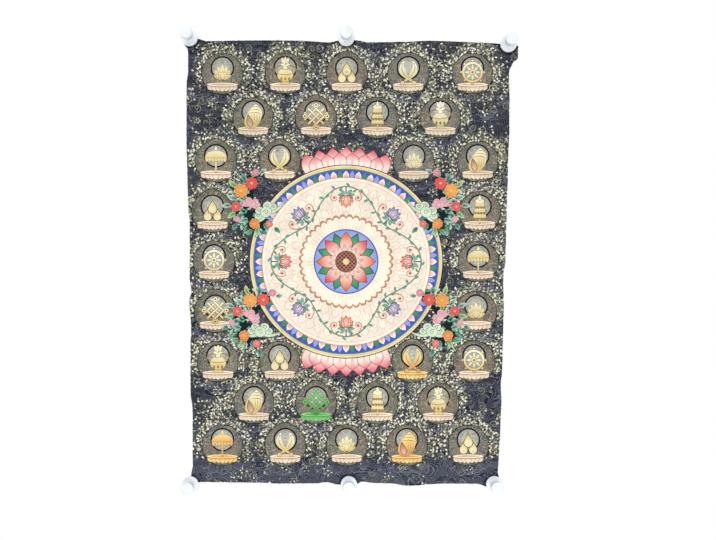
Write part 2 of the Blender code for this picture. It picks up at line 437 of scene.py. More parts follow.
def paint_sky_and_water():
    draw = random.Random(21)

    def over_bare_ground(x, z):
        return 1.0 if open_ground(x, z) > 4.0 else 0.0

    for x, z in scattered(CLOUD_CURLS * 14, 17.0, over_bare_ground, 8)[:CLOUD_CURLS]:
        brush = Brush(x, z, draw.uniform(-0.25, 0.25), draw.uniform(0.7, 1.15), draw.random() < 0.5)
        cloud_curl(brush, draw.choice((SLATE, SLATE, MIST)))
    for row in range(WAVE_ROWS):
        for step in range(WAVES_IN_ROW):
            x = LEFT_X[0] + WAVE_PITCH * (step + 0.5 * (row % 2))
            wave(Brush(x, BOTTOM_Z[1] + 3.0 + row * WAVE_ROW_PITCH), SLATE)


paint_sky_and_water()


# The leaf scrolls. Small tendrils curl over the ground with pointed leaves along them, in cream,
# straw and olive, and loose leaves crowd round each roundel like the crown of a tree.
CREAM = (242, 241, 222)
STRAW = (220, 214, 176)
OLIVE = (158, 160, 126)
MOSS = (112, 118, 98)
TENDRILS = 120
TENDRIL_REACH = (6.6, 1.2)
TENDRIL_TURN_DEG = 420
TENDRIL_STEPS = 13
LOOSE_LEAVES = 560
DRY_LEAF = (186, 176, 150)
BLUSH_LEAF = (205, 186, 168)
LEAF_COLOURS = (CREAM, CREAM, CREAM, STRAW, STRAW, OLIVE, OLIVE, MOSS, DRY_LEAF, BLUSH_LEAF)


def tendril(brush, draw):
    stem = draw.choice((OLIVE, MOSS, STRAW))
    path = spiral(*TENDRIL_REACH, 0, TENDRIL_TURN_DEG, TENDRIL_STEPS)
    brush.lay(ribbon(path, 0.35, 0.5, 0.75), stem)
    brush.lay(circle(1.1, 6, *path[-1]), CREAM)
    for step in range(1, TENDRIL_STEPS - 1, 2):
        turn = math.radians(TENDRIL_TURN_DEG * step / TENDRIL_STEPS)
        reach = between(TENDRIL_REACH, step / TENDRIL_STEPS) + 0.3
        leaf = petal(draw.uniform(2.6, 3.9), draw.uniform(1.3, 1.9), 2, 0.2)
        lean = turn - math.pi / 2 + draw.uniform(-0.9, 0.5)
        brush.lay(moved(leaf, *around(reach, turn), lean), draw.choice(LEAF_COLOURS))


def paint_leaf_scrolls():
    draw = random.Random(33)

    def anywhere(x, z):
        return 1.0 if open_ground(x, z) > 1.5 else 0.0

    def round_the_roundels(x, z):
        reach = open_ground(x, z)
        if reach < 0.3 or z < WATER_Z:
            return 0.0
        patches = 0.5 + 0.5 * math.sin(x / 23.0 + 1.7 * math.sin(z / 31.0)) * math.cos(z / 27.0)
        return max(math.exp(-reach / 6.0), 0.35 * patches * patches)

    for x, z in scattered(TENDRILS * 16, 13.0, anywhere, 12)[:TENDRILS]:
        turn = draw.uniform(0, 2 * math.pi)
        tendril(Brush(x, z, turn, draw.uniform(0.75, 1.2), draw.random() < 0.5), draw)
    for x, z in scattered(LOOSE_LEAVES * 16, 4.6, round_the_roundels, 17)[:LOOSE_LEAVES]:
        leaf = petal(draw.uniform(2.6, 4.2), draw.uniform(1.5, 2.3), 2, 0.2)
        Brush(x, z, draw.uniform(0, 2 * math.pi)).lay(leaf, draw.choice(LEAF_COLOURS))


paint_leaf_scrolls()


# The roundels. Each is a dim olive or brown disc with fine rays, a pale round in a black ring, and one
# lucky sign on a lotus seat: wheel, vase, shell, knot, parasol, fish, banner, jewels or lotus. Most
# signs are in pale gold, and a few in ivory, amber or jade.
INK = (20, 21, 28)
UMBER = (92, 70, 52)
PALE_GOLD = (250, 242, 202)
GOLD = (228, 206, 140)
OLD_GOLD = (158, 134, 88)
AUREOLES = (
    ((138, 135, 122), (88, 90, 89)),
    ((128, 130, 125), (85, 88, 93)),
    ((144, 130, 116), (96, 88, 84)),
    ((131, 134, 115), (88, 91, 82)),
)
PALE_ROUND = (212, 210, 196)
ROUND_SHADE = (172, 172, 160)
ROUND_UP = 8.0
RING_RADIUS = 17.0
ROUND_RADIUS = 14.8
CURLS_IN_ROUND = 8
RAYS = 28
RAY_REACH = 16.6
SEAT_UP = -17.5
SIGN_UP = 2.0
SIGN_SIZE = 1.22
BANK_UP = -27.0

Tint = namedtuple("Tint", "light middle dark")
GILDED = Tint(PALE_GOLD, GOLD, OLD_GOLD)
IVORY = Tint((250, 244, 214), (226, 212, 160), (150, 128, 92))
SHELL_PINK = Tint((250, 236, 212), (220, 190, 160), (156, 118, 100))
JADE = Tint((140, 214, 136), (92, 176, 94), (48, 104, 64))
AMBER = Tint((252, 224, 150), (230, 176, 106), (158, 100, 66))


def edged(brush, outline, tint, reach=(0.0, 14.0), origin=(0.0, -7.0), line=0.55, gilt=0.6):
    """A shape with a dark drawn line round it and a shaded fill."""
    middle_across = sum(point[0] for point in outline) / len(outline)
    middle_up = sum(point[1] for point in outline) / len(outline)
    widest = max(math.hypot(a - middle_across, b - middle_up) for a, b in outline)
    grow = 1.0 + line / widest
    wider = [
        (middle_across + (a - middle_across) * grow, middle_up + (b - middle_up) * grow)
        for a, b in outline
    ]
    brush.lay(wider, UMBER)
    brush.lay(outline, tint.middle, tint.light, origin, reach, gilt=gilt)


def wheel_sign(brush, tint):
    for step in range(8):
        turn = math.pi / 4 * step
        edged(brush, circle(1.5, 6, *around(13.2, turn)), tint)
    edged(brush, circle(12.2, 32), tint)
    brush.lay(circle(9.6, 28), UMBER)
    brush.lay(circle(9.2, 28), ROUND_SHADE)
    for step in range(8):
        spoke = moved(petal(9.6, 2.6, 3, 0.8), 0, 0, math.pi / 4 * step)
        brush.lay(spoke, tint.light, gilt=0.6)
    edged(brush, circle(3.4, 12), tint)
    brush.lay(circle(1.5, 8), tint.dark)


def vase_sign(brush, tint):
    for side in (-1, 1):
        scarf = bend((side * 2.5, 7.5), (side * 15.0, 9.0), (side * 12.5, -4.0), 7)
        brush.lay(ribbon(scarf, 1.2, 0.5, 2.2), tint.dark)
    edged(brush, [(-5.5, -14.5), (5.5, -14.5), (3.6, -10.5), (-3.6, -10.5)], tint)
    edged(brush, circle(9.2, 24, 0.0, -3.4, 0.86), tint)
    edged(brush, [(-2.6, 3.2), (2.6, 3.2), (2.2, 8.2), (-2.2, 8.2)], tint)
    edged(brush, circle(5.6, 14, 0.0, 8.8, 0.3), tint)
    for turn in (-0.55, 0.0, 0.55):
        edged(brush, moved(petal(8.6, 4.2, 4), 0, 9.6, turn), tint)
    brush.lay(ribbon(bend((-8.6, -1.6), (0.0, -4.4), (8.6, -1.6), 6), 0.8), tint.dark)
    for across in (-4.6, 0.0, 4.6):
        brush.lay(moved(petal(4.6, 3.0, 3), across, -10.0), tint.dark)


def shell_sign(brush, tint):
    body = bend((3.0, 14.5), (12.0, 9.0), (10.2, 0.0), 6)
    body += bend((10.2, 0.0), (8.5, -10.5), (-1.0, -14.8), 6)[1:]
    body += bend((-1.0, -14.8), (-11.5, -14.0), (-10.4, -5.0), 6)[1:]
    body += bend((-10.4, -5.0), (-8.4, 4.4), (3.0, 14.5), 6)[1:-1]
    edged(brush, body, tint)
    for left, right, up in ((-6.3, 9.6, 3.2), (-3.4, 9.4, 6.8), (-0.2, 8.0, 10.2)):
        whorl = bend((left, up), (right * 0.6, up + 3.0), (right, up - 1.4), 6)
        brush.lay(ribbon(whorl, 0.3, 0.3, 0.9), tint.dark)
    for across in (1.0, 4.2, 7.2):
        rib = bend((across, 3.4), (across + 1.6, -4.0), (across * 0.5 - 0.6, -11.5), 5)
        brush.lay(ribbon(rib, 0.25, 0.25, 0.6), tint.dark)
    brush.lay(moved(petal(17.0, 7.4, 7, 0.1), -2.4, -13.6, 0.24), UMBER)
    mouth = moved(petal(15.4, 6.0, 7, 0.1), -2.6, -12.8, 0.24)
    brush.lay(mouth, (240, 196, 172), tint.dark, (-2.6, -12.0), (-3.0, 13.0))


def knot_sign(brush, tint):
    for row in (-1, 0, 1):
        for slant in (-1, 1):
            shift = 4.6 * row
            path = [(side * 9.0 + shift, slant * (side * 9.0 - shift)) for side in (-1, 1)]
            brush.lay(ribbon(path, 3.1), UMBER)
            brush.lay(ribbon(path, 2.1), tint.middle, tint.light, (0, -9), (0, 18), gilt=0.6)
    for across, up in ((0, 13.2), (0, -13.2), (13.2, 0), (-13.2, 0)):
        edged(brush, circle(2.6, 10, across, up), tint)
        brush.lay(circle(1.1, 6, across, up), UMBER)


def parasol_sign(brush, tint):
    edged(brush, [(-0.9, -14.0), (0.9, -14.0), (0.9, 4.0), (-0.9, 4.0)], tint, line=0.8)
    for side in (-1, 1):
        tail = bend((side * 9.0, 1.5), (side * 15.0, -4.0), (side * 9.5, -11.0), 6)
        brush.lay(ribbon(tail, 1.8, 0.5), tint.dark)
    for step in range(7):
        across = -10.5 + 3.5 * step
        edged(brush, moved(petal(6.0, 3.8, 3, 0.9), across, 3.6, math.pi), tint, (0, -8), (0, 3))
    turns = [math.pi * step / 12 for step in range(13)]
    dome = [(12.6 * math.cos(turn), 2.8 + 8.4 * math.sin(turn)) for turn in turns]
    edged(brush, dome, tint, (0, 10), (0, 2))
    edged(brush, moved(petal(5.6, 3.2, 4), 0, 11.0), tint)


def fish_sign(brush, tint):
    for side in (-1, 1):
        path = bend((side * 5.0, 13.0), (side * 13.5, 1.0), (side * -4.5, -10.5), 9)
        edged(brush, ribbon(path, 1.6, 1.8, 8.2), tint)
        brush.lay(ribbon(path[1:-1], 0.4, 0.3, 0.8), tint.dark)
        tail = moved(petal(5.6, 5.6, 3, 0.1, 1.4), side * -4.6, -10.6, side * 2.3)
        edged(brush, tail, tint)
        brush.lay(circle(0.7, 6, side * 6.4, 9.6), INK)


def banner_sign(brush, tint):
    edged(brush, [(-0.8, -15.0), (0.8, -15.0), (0.8, -8.0), (-0.8, -8.0)], tint, line=0.8)
    for rank in range(3):
        up = -9.5 + 6.6 * rank
        half = 7.6 - 0.8 * rank
        tier = [(-half, up), (half, up), (half - 1.0, up + 5.4), (1.0 - half, up + 5.4)]
        edged(brush, tier, tint, (0, 8), (0, up))
        for step in range(4):
            across = -half + half * (0.25 + 0.5 * step)
            brush.lay(moved(petal(3.4, half * 0.46, 3, 0.9), across, up + 1.0, math.pi), tint.dark)
    edged(brush, circle(5.4, 12, 0, 10.8, 0.5), tint)
    edged(brush, moved(petal(6.0, 3.4, 4), 0, 11.8), tint)


def jewel_sign(brush, tint):
    for across, up, size in ((-5.6, -8.0, 1.0), (5.6, -8.0, 1.0), (0.0, 0.5, 1.1)):
        drop = brush.inside(across, up, size=size)
        drop.lay(moved(petal(15.0, 10.5, 12, 0.2, 0.62), 0, -4.4), UMBER)
        pearl = moved(petal(13.4, 9.0, 12, 0.2, 0.62), 0, -3.7)
        drop.lay(pearl, tint.light, tint.middle, (0, 0), 7.0, gilt=0.5)
        drop.lay(circle(2.3, 10, 0, 0.4), tint.dark, tint.light, (0, 0), 2.6)


def fanned(*petals):
    """The lean and length of each petal of a lotus, to both sides, and last of the upright one."""
    return [(side * lean, length) for lean, length in petals for side in ((-1, 1) if lean else (1,))]


def lotus_sign(brush, tint):
    for lean, length in fanned((1.25, 11), (0.8, 13.5), (0.38, 15.5), (0, 17)):
        leaf = moved(petal(length, 6.6, 4, 0.25), 0, -7.0, lean)
        edged(brush, leaf, tint, (0, 14), (0, -5))
    for lean, length in fanned((0.95, 9.6), (0.42, 9.6), (0, 9.6)):
        leaf = moved(petal(length, 5.2, 4, 0.25), 0, -8.6, lean)
        edged(brush, leaf, tint, (0, 9), (0, -8))


SIGNS = (
    lotus_sign, wheel_sign, vase_sign, shell_sign, parasol_sign,
    jewel_sign, knot_sign, fish_sign, banner_sign,
)


def lotus_seat(brush, tint):
    """A flat seat on a row of petals that turn down and out, with the middle one in front."""
    for step in (-3, 3, -2, 2, -1, 1, 0):
        leaf = petal(9.4 - 0.5 * abs(step), 8.6, 6, 0.8, 0.85)
        leaf = moved(leaf, step * 6.1, 1.0, math.pi - step * 0.13)
        edged(brush, leaf, tint, (0, -7), (0, 0), line=0.45)
    brush.lay(circle(22.6, 28, 0, 1.5, 0.15), UMBER)
    brush.lay(circle(22.0, 28, 0, 1.7, 0.13), tint.light)
    brush.lay(circle(17.0, 24, 0, 1.8, 0.09), tint.middle)


def cloud_bank(brush):
    """A low bank of cloud under a roundel, drawn in pale lines that follow its lobes."""
    for across, up, reach in ((-24, 0, 6.0), (23, 0, 6.5), (-13, -4, 8.0), (12, -4, 8.0), (0, -6, 8.5)):
        for rank, colour in enumerate((MIST, SLATE, SLATE)):
            inner = reach - 2.0 * rank
            brush.lay(ribbon(spiral(inner, inner, 190, 165, 8, across, up), 0.3, 0.3, 0.9), colour)


def aureole(radius, form):
    """A roundel's outline: form 0 is round, 1 is drawn up to a point, and 2 has eight shallow lobes."""
    outline = []
    for turn in turns_round(56):
        reach = radius
        if form == 1:
            reach *= 1.0 + 0.12 * max(math.sin(turn), 0.0) ** 16
        elif form == 2:
            reach *= 0.95 + 0.05 * abs(math.sin(4.0 * turn))
        outline.append(around(reach, turn))
    return outline


def roundel(x, z, sign, tint, colours, form):
    brush = Brush(x, z)
    cloud_bank(brush.inside(0.0, BANK_UP))
    brush.lay(aureole(ROUNDEL_RADIUS, form), INK)
    brush.lay(aureole(ROUNDEL_RADIUS - 0.9, form), MOSS)
    brush.lay(aureole(ROUNDEL_RADIUS - 1.5, form), *colours, (0, 0), ROUNDEL_RADIUS, filigree=0.55)
    for step, turn in enumerate(turns_round(RAYS, 0.5)):
        brush.lay(ray(RAY_REACH, turn, ROUNDEL_RADIUS - 19.0, 0.1), OLIVE if step % 2 else MIST)
    disc = brush.inside(0.0, ROUND_UP)
    disc.lay(circle(RING_RADIUS, 40), INK)
    disc.lay(circle(ROUND_RADIUS, 36), PALE_ROUND, ROUND_SHADE, (0, 0), ROUND_RADIUS + 0.4, filigree=0.5)
    for turn in turns_round(CURLS_IN_ROUND):
        curl = spiral(2.4, 0.6, math.degrees(turn), 330, 7, *around(11.6, turn))
        disc.lay(ribbon(curl, 0.35, 0.3, 0.6), MOSS)
    lotus_seat(brush.inside(0.0, SEAT_UP), tint if tint in (JADE, AMBER) else SHELL_PINK)
    sign(brush.inside(0.0, SIGN_UP, size=SIGN_SIZE), tint)


def paint_roundels():
    tints = dict.fromkeys((3, 8, 11, 15), IVORY) | dict.fromkeys((21, 27, 30), AMBER) | {24: JADE}
    for number, (x, z) in enumerate(roundel_places):
        sign = SIGNS[(number * 2 + number // 2) % len(SIGNS)]
        colours = AUREOLES[number * 3 % len(AUREOLES)]
        roundel(x, z, sign, tints.get(number, GILDED), colours, (number * 2 + number // 5) % 3)


paint_roundels()


# The medallion. A great wheel of lotus petals: a gilt rim, a cobalt band with pink petals, a wide
# cream and rose field of fine tan petals under a winding lotus vine, and in the middle a lotus in red,
# orange and green round a maroon trellis. Pink lotus garlands lie above and below it.
ROSE_CREAM = (255, 246, 226)
ROSE = (250, 234, 220)
TAN = (222, 194, 164)
RUST = (214, 150, 116)
COBALT = (82, 90, 190)
SKY = (150, 170, 225)
PINK = (234, 146, 152)
RED = (222, 58, 62)
ORANGE = (238, 108, 56)
GREEN = (72, 150, 98)
TEAL = (60, 98, 90)
SEA = (126, 182, 162)
CLOUD_GREEN = (196, 220, 186)
MAROON = (112, 62, 62)
PALE_GILT = (240, 222, 176)
TENDRIL_BROWN = (176, 130, 96)
OXBLOOD = (120, 34, 44)
FIELD_RADIUS = 107.0
HEART_RADIUS = 60.5
EYE_RADIUS = 14.2
TRELLIS_RADIUS = 12.6
GARLAND_REACH = 119.0
GARLAND_STEP_DEG = 7.0

MEDALLION = Brush(MEDALLION_X, MEDALLION_Z, size=MEDALLION_SIZE)


def petal_ring(radius, count, length, width, paint, offset=0.0, steps=4, root=0.5):
    for step, turn in enumerate(turns_round(count, offset)):
        paint(MEDALLION.facing_out(radius, turn), petal(length, width, steps, root), step)


def rimmed(spot, outline, rim, inset, *fill):
    """A petal in its rim's colour, with a shaded fill drawn in from the rim."""
    spot.lay(outline, rim)
    spot.lay(scaled(outline, *inset), *fill)


def paint_garland(middle_deg):
    """Two fans of broad lotus petals that show behind the medallion."""
    fans = (
        (7, 27.0, 18.0, (250, 224, 210), (226, 100, 118)),
        (6, 20.0, 17.0, (252, 240, 226), (232, 128, 138)),
    )
    for count, length, width, light, deep in fans:
        for step in range(count):
            turn = math.radians(middle_deg + (step - (count - 1) / 2) * GARLAND_STEP_DEG)
            spot = MEDALLION.facing_out(GARLAND_REACH, turn)
            spot.lay(petal(length + 0.8, width + 1.4, 7, 0.9, 0.9), (196, 76, 96))
            spot.lay(petal(length, width, 7, 0.9, 0.9), light, deep, (0, length * 0.45), (0, length * 0.5))
            for lean in (-0.2, 0.0, 0.2):
                spot.lay(moved(petal(length * 0.72, 0.5, 2, 0.6), 0, 3.0, lean), (234, 160, 160))


VINE_RADIUS = 82.0
VINE_SWING = 14.0
BAYS = 8


def lotus_bloom(spot, deep, stem_end):
    """A lotus seen from the side, as large as a coin, on a stem that comes up to it from the vine."""
    spot.lay(ribbon([(0.0, stem_end), (0.0, -8.0)], 1.5), TEAL)
    for side in (-1, 1):
        for up, turn, length in ((-9.0, 2.2, 8.0), (-8.0, 1.5, 10.0)):
            leaf = moved(petal(length, 4.4, 6, 0.2), side * 1.5, up, side * -turn)
            spot.lay(leaf, TEAL)
            inner = [(a * 0.93, up + (b - up) * 0.84) for a, b in leaf]
            spot.lay(inner, SEA, GREEN, (0, up), (0, 10))
    for lean, length in fanned((1.5, 9.5), (1.0, 11.5), (0.5, 13.0), (0, 13.6)):
        spot.lay(moved(petal(length, 7.4, 6, 0.35), 0.0, -4.0, lean), MAROON)
        inner = moved(petal(length - 0.9, 6.2, 6, 0.35), 0.0, -3.5, lean)
        spot.lay(inner, ROSE_CREAM, deep, (0.0, -3.5), 12.0)
    for lean, length in fanned((0.75, 8.2), (0, 8.2)):
        spot.lay(moved(petal(length, 6.0, 6, 0.4), 0.0, -6.4, lean), MAROON)
        inner = moved(petal(length - 0.9, 4.9, 6, 0.4), 0.0, -6.0, lean)
        spot.lay(inner, deep, ROSE_CREAM, (0.0, -6.0), 8.0)


def vine_at(turn, aside=0.0):
    return around(VINE_RADIUS + aside + VINE_SWING * math.cos(BAYS / 2 * turn), turn)


def lotus_scroll():
    """A vine that winds round the pale field in eight bays, with a lotus and two curled shoots in each."""
    step_turn = 2.0 * math.pi / (BAYS * 20)
    for bay in range(BAYS):
        run = [vine_at((bay * 20 + step) * step_turn) for step in range(-1, 22)]
        MEDALLION.lay(ribbon(run, 1.7), TEAL)
        MEDALLION.lay(ribbon(run, 0.9), SEA)
    for leaf in range(BAYS * 8):
        turn = (leaf + 0.5) * 2.5 * step_turn
        side = 1 if leaf % 2 else -1
        spot = MEDALLION.inside(*vine_at(turn, side * 0.8), turn + (0.9 if side > 0 else math.pi - 0.9))
        spot.lay(moved(petal(6.4, 3.0, 4, 0.2), turn=-math.pi / 2), TEAL)
        spot.lay(moved(petal(5.6, 2.1, 4, 0.2), 0.4, 0.0, -math.pi / 2), SEA, GREEN, (0, 0), (6, 0))
    for bay, turn in enumerate(turns_round(BAYS)):
        inward = bay % 2 == 0
        reach = VINE_RADIUS - 4.0 if inward else VINE_RADIUS + 4.0
        facing = turn + math.pi / 2 if inward else turn - math.pi / 2
        axis = MEDALLION.inside(*around(reach, turn), facing)
        for side in (-1, 1):
            shoot = bend((side * 9.0, -17.0), (side * 19.5, -13.0), (side * 19.5, -3.5), 6)
            shoot += spiral(4.6, 1.0, 0 if side > 0 else 180, side * 420, 14, side * 14.9, -3.5)[1:]
            axis.lay(ribbon(shoot, 1.2, 0.6, 0.9), TENDRIL_BROWN)
            axis.lay(circle(1.5, 10, side * 14.9, -3.5), RED)
        lotus_bloom(axis, (RED, COBALT, ORANGE, COBALT)[bay % 4], -VINE_SWING - 4.0)


def paint_medallion():
    paint_garland(90.0)
    paint_garland(270.0)
    rim = (
        (0.0, INK, 0.0),
        (1.0, PALE_GILT, 0.3),
        (3.4, (226, 190, 128), 0.3),
        (4.0, PALE_GILT, 0.3),
        (5.2, GREEN, 0.0),
        (6.4, COBALT, 0.0),
    )
    for inset, colour, gilt in rim:
        MEDALLION.lay(circle(MEDALLION_RADIUS - inset, 128), colour, gilt=gilt)
    paint_band_and_field()
    lotus_scroll()
    paint_heart()


def paint_band_and_field():
    def band_leaf(spot, outline, step):
        spot.lay(outline, GREEN if step % 2 else SKY)

    def band_petal(spot, outline, step):
        rimmed(spot, outline, ROSE_CREAM, (0.8, 0.84, 0.4), PINK, ROSE_CREAM, (0, 1), (0, 8))

    def drawn_petal(spot, outline, step):
        rimmed(spot, outline, TAN, (0.86, 0.93, 0.2), ROSE_CREAM, ROSE, (0, 0), (0, 12))
        spot.lay(petal(6.0, 0.7, 2, 0.2), TAN)

    petal_ring(FIELD_RADIUS, 44, 9.6, 6.0, band_leaf, 0.5)
    petal_ring(FIELD_RADIUS - 1.5, 44, 10.6, 8.2, band_petal)
    MEDALLION.lay(circle(FIELD_RADIUS + 1.0, 120), RUST)
    MEDALLION.lay(circle(FIELD_RADIUS, 120), ROSE, ROSE_CREAM, (0, 0), 40.0)
    MEDALLION.lay(circle(FIELD_RADIUS - 3.6, 120), TAN)
    MEDALLION.lay(circle(FIELD_RADIUS - 4.2, 120), ROSE_CREAM, ROSE, (0, 0), FIELD_RADIUS - 4.0)
    for rank in range(5):
        petal_ring(88.0 - 8.6 * rank, 48 - 6 * rank, 11.6, 10.6, drawn_petal, 0.5 * (rank % 2), 6)


def paint_heart():
    """The great lotus in the middle, on a pale round with rays and a frilled rim."""
    for inset, colour in ((0.0, MAROON), (0.6, RUST), (2.9, (254, 246, 226))):
        MEDALLION.lay(scalloped(HEART_RADIUS - inset, 40, 0.06, 6), colour)
    for turn in turns_round(64):
        MEDALLION.lay(ray(37, turn, 17.0, 0.4), (244, 218, 188))
    MEDALLION.lay(circle(41.5, 64), COBALT)
    MEDALLION.lay(circle(40.0, 64), (206, 216, 240), SKY, (0, 0), 40.0)

    def sepal(spot, outline, step):
        rimmed(spot, outline, TEAL, (0.84, 0.9, 0.5), SEA, GREEN, (0, 0), (0, 20))

    def great_petal(spot, outline, step):
        deep = RED if step % 2 else ORANGE
        rimmed(spot, outline, OXBLOOD, (0.92, 0.95, 0.5), (252, 226, 210), deep, (0, 4), (0, 20))
        for lean in (-0.22, 0.0, 0.22):
            spot.lay(moved(petal(13.0, 0.8, 2, 0.4), 0, 3.0, lean), (250, 210, 196))

    def small_petal(spot, outline, step):
        rimmed(spot, outline, MAROON, (0.9, 0.93, 0.4), ROSE_CREAM, PINK, (0, 2), (0, 10))

    petal_ring(14.0, 8, 25.5, 14.0, sepal, 0.5, 6)
    petal_ring(12.0, 8, 26.5, 17.0, great_petal, 0.0, 6)
    petal_ring(10.0, 16, 12.5, 6.2, small_petal, 0.25, 5)
    MEDALLION.lay(circle(EYE_RADIUS, 32), OLD_GOLD, gilt=0.5)
    MEDALLION.lay(circle(EYE_RADIUS - 1.0, 32), MAROON)
    for slant in (-1, 1):
        for row in range(-3, 4):
            shift = row * 3.6
            half = math.sqrt(max(TRELLIS_RADIUS**2 - shift**2, 0.0)) / math.sqrt(2.0)
            across, up = shift / math.sqrt(2.0), -slant * shift / math.sqrt(2.0)
            path = [(across + end * half, up + slant * end * half) for end in (-1, 1)]
            MEDALLION.lay(ribbon(path, 0.55), (206, 150, 130))
    MEDALLION.lay(circle(4.2, 16), PALE_GOLD, GOLD, (0, 0), 4.2, gilt=0.6)


paint_medallion()


# The flower sprays. Peonies in red, orange and pink, teal and green leaves with pale rims, and banks
# of curled cloud in pale green and pink crowd the medallion's four shoulders, over a dark bed.
SPRAY_AWAY = (125.0, 84.0)
SPRAY_LEAN_DEG = -16.0
SPRIGS = 110
WINE = (120, 30, 40)
CRIMSON = (206, 92, 120)
FROST = (190, 220, 200)
DEW = (196, 224, 206)


def peony(brush, deep, light):
    for layer, (reach, count) in enumerate(((9.0, 8), (6.6, 7), (4.2, 5))):
        for turn in turns_round(count, 0.5 * layer):
            frill = scalloped(reach * 0.42, 5, 0.16, 3, *around(reach * 0.58, turn))
            brush.lay(scaled(frill, 1.06, 1.06), WINE)
            brush.lay(frill, deep, light, (0, 0), reach)
    brush.lay(scalloped(1.9, 6, 0.2, 2), (246, 210, 110))


def spray_leaf(brush, length, width, dark, pale):
    lobed = petal(length, width, 7, 0.1)
    lobed = [(a * (1.0 if index % 2 else 0.74), b) for index, (a, b) in enumerate(lobed)]
    rimmed(brush, lobed, pale, (0.74, 0.88, 0.5), dark, pale, (0, 0), (0, length * 1.1))
    brush.lay(petal(length * 0.8, 0.6, 2, 0.5), INK)


def banded_cloud(brush, pale, middle, line):
    """A bank of five curled heads with bands that follow each curl, and a streamer at either end."""
    for side, length in ((-1, 31.0), (1, 25.0)):
        streamer = bend((side * 2.0, -5.0), (side * length * 0.6, -12.0), (side * length, -2.0), 8)
        brush.lay(ribbon(streamer, 6.6, 0.6, 5.0), line)
        brush.lay(ribbon(streamer, 5.4, 0.3, 3.8), pale, middle, (0, 0), (side * length, 0))
    heads = ((-12.6, -1.8, 5.6), (12.8, -1.0, 6.0), (-6.2, 4.0, 7.0), (7.2, 4.6, 6.4), (0.4, -2.4, 8.6))
    for across, up, reach in heads:
        count = 12 + round(reach)
        brush.lay(circle(reach, count, across, up, 0.9), line)
        brush.lay(circle(reach - 0.6, count, across, up, 0.9), pale)
        brush.lay(circle(reach * 0.76, count - 2, across, up, 0.9), middle)
        brush.lay(circle(reach * 0.64, count - 2, across, up, 0.9), pale)
        curl = spiral(reach * 0.5, reach * 0.08, 30, 480, 15, across, up)
        brush.lay(ribbon([(a, up + (b - up) * 0.9) for a, b in curl], 0.8, 0.6), line)


def dark_bed(brush):
    """The shade between the flowers, so that leaves and petals stand out from it."""
    for across, up, reach in ((17, 18, 15), (27, -2, 14), (14, -22, 14), (2, 32, 10), (0, -32, 9)):
        brush.lay(scalloped(reach, 9, 0.12, 3, across, up), (24, 38, 38))


Bloom = namedtuple("Bloom", "across up size deep light")
Leaf = namedtuple("Leaf", "across up turn_deg length dark pale")
BLOOMS = (
    Bloom(20.0, 24.0, 1.15, ORANGE, (250, 190, 110)),
    Bloom(2.0, 30.0, 1.0, RED, (240, 110, 110)),
    Bloom(33.0, 4.0, 0.8, RED, (238, 120, 120)),
    Bloom(14.0, -27.0, 0.85, ORANGE, (248, 170, 100)),
    Bloom(-8.0, 43.0, 0.6, CRIMSON, (240, 170, 190)),
    Bloom(-6.0, -33.0, 0.62, RED, (244, 150, 150)),
    Bloom(36.0, -14.0, 0.5, CRIMSON, (244, 190, 200)),
)
LEAVES = (
    Leaf(10.0, 20.0, 20, 15, TEAL, SEA), Leaf(28.0, 14.0, -60, 15, TEAL, FROST),
    Leaf(26.0, 32.0, -30, 13, GREEN, (214, 228, 160)), Leaf(-2.0, 38.0, 35, 12, GREEN, (210, 226, 170)),
    Leaf(10.0, 36.0, -10, 12, TEAL, SEA), Leaf(40.0, 8.0, -80, 13, TEAL, DEW),
    Leaf(36.0, -4.0, -110, 14, GREEN, (196, 220, 170)), Leaf(28.0, -8.0, -130, 15, TEAL, SEA),
    Leaf(22.0, -18.0, -90, 15, TEAL, FROST), Leaf(12.0, -34.0, -160, 13, GREEN, (206, 226, 160)),
    Leaf(0.0, -30.0, 170, 13, TEAL, SEA), Leaf(20.0, -34.0, -120, 11, GREEN, SEA),
    Leaf(-14.0, 40.0, 70, 11, TEAL, DEW), Leaf(-12.0, -40.0, 150, 12, TEAL, SEA),
    Leaf(16.0, 10.0, -20, 14, GREEN, (206, 226, 170)), Leaf(40.0, -20.0, -140, 10, TEAL, SEA),
)


def flower_spray(brush):
    dark_bed(brush)
    draw = random.Random(5)
    for _ in range(SPRIGS):
        turn = draw.uniform(-1.9, 1.9)
        reach = 36.0 * math.sqrt(draw.uniform(0.02, 1.0))
        across, up = 8.0 + reach * math.cos(turn) * 0.9, reach * math.sin(turn) * 1.2
        leaf = petal(draw.uniform(4.5, 7.5), draw.uniform(2.4, 3.6), 3, 0.2)
        pale, dark = draw.choice((((206, 226, 204), TEAL), (SEA, GREEN), ((222, 232, 214), SEA)))
        spot = brush.inside(across, up, turn - math.pi / 2 + draw.uniform(-0.8, 0.8))
        spot.lay(leaf, pale, dark, (0, 6), (0, -7))
    for leaf in LEAVES:
        spot = brush.inside(leaf.across, leaf.up, math.radians(leaf.turn_deg))
        spray_leaf(spot, leaf.length, 8.0, leaf.dark, leaf.pale)
    banded_cloud(brush.inside(10.0, 3.0, 0.5, 0.72, True), (244, 206, 208), (222, 128, 150), (150, 70, 90))
    banded_cloud(brush.inside(-6.0, -13.0, -0.3, 1.0), (226, 240, 212), CLOUD_GREEN, (70, 104, 86))
    for bloom in BLOOMS:
        peony(brush.inside(bloom.across, bloom.up, bloom.up * 0.3, bloom.size), bloom.deep, bloom.light)


def paint_sprays():
    for side in (-1, 1):
        for end in (-1, 1):
            x, z = MEDALLION_X + side * SPRAY_AWAY[0], MEDALLION_Z + end * SPRAY_AWAY[1]
            flower_spray(Brush(x, z, math.radians(SPRAY_LEAN_DEG * side * end), 1.0, side < 0))


paint_sprays()


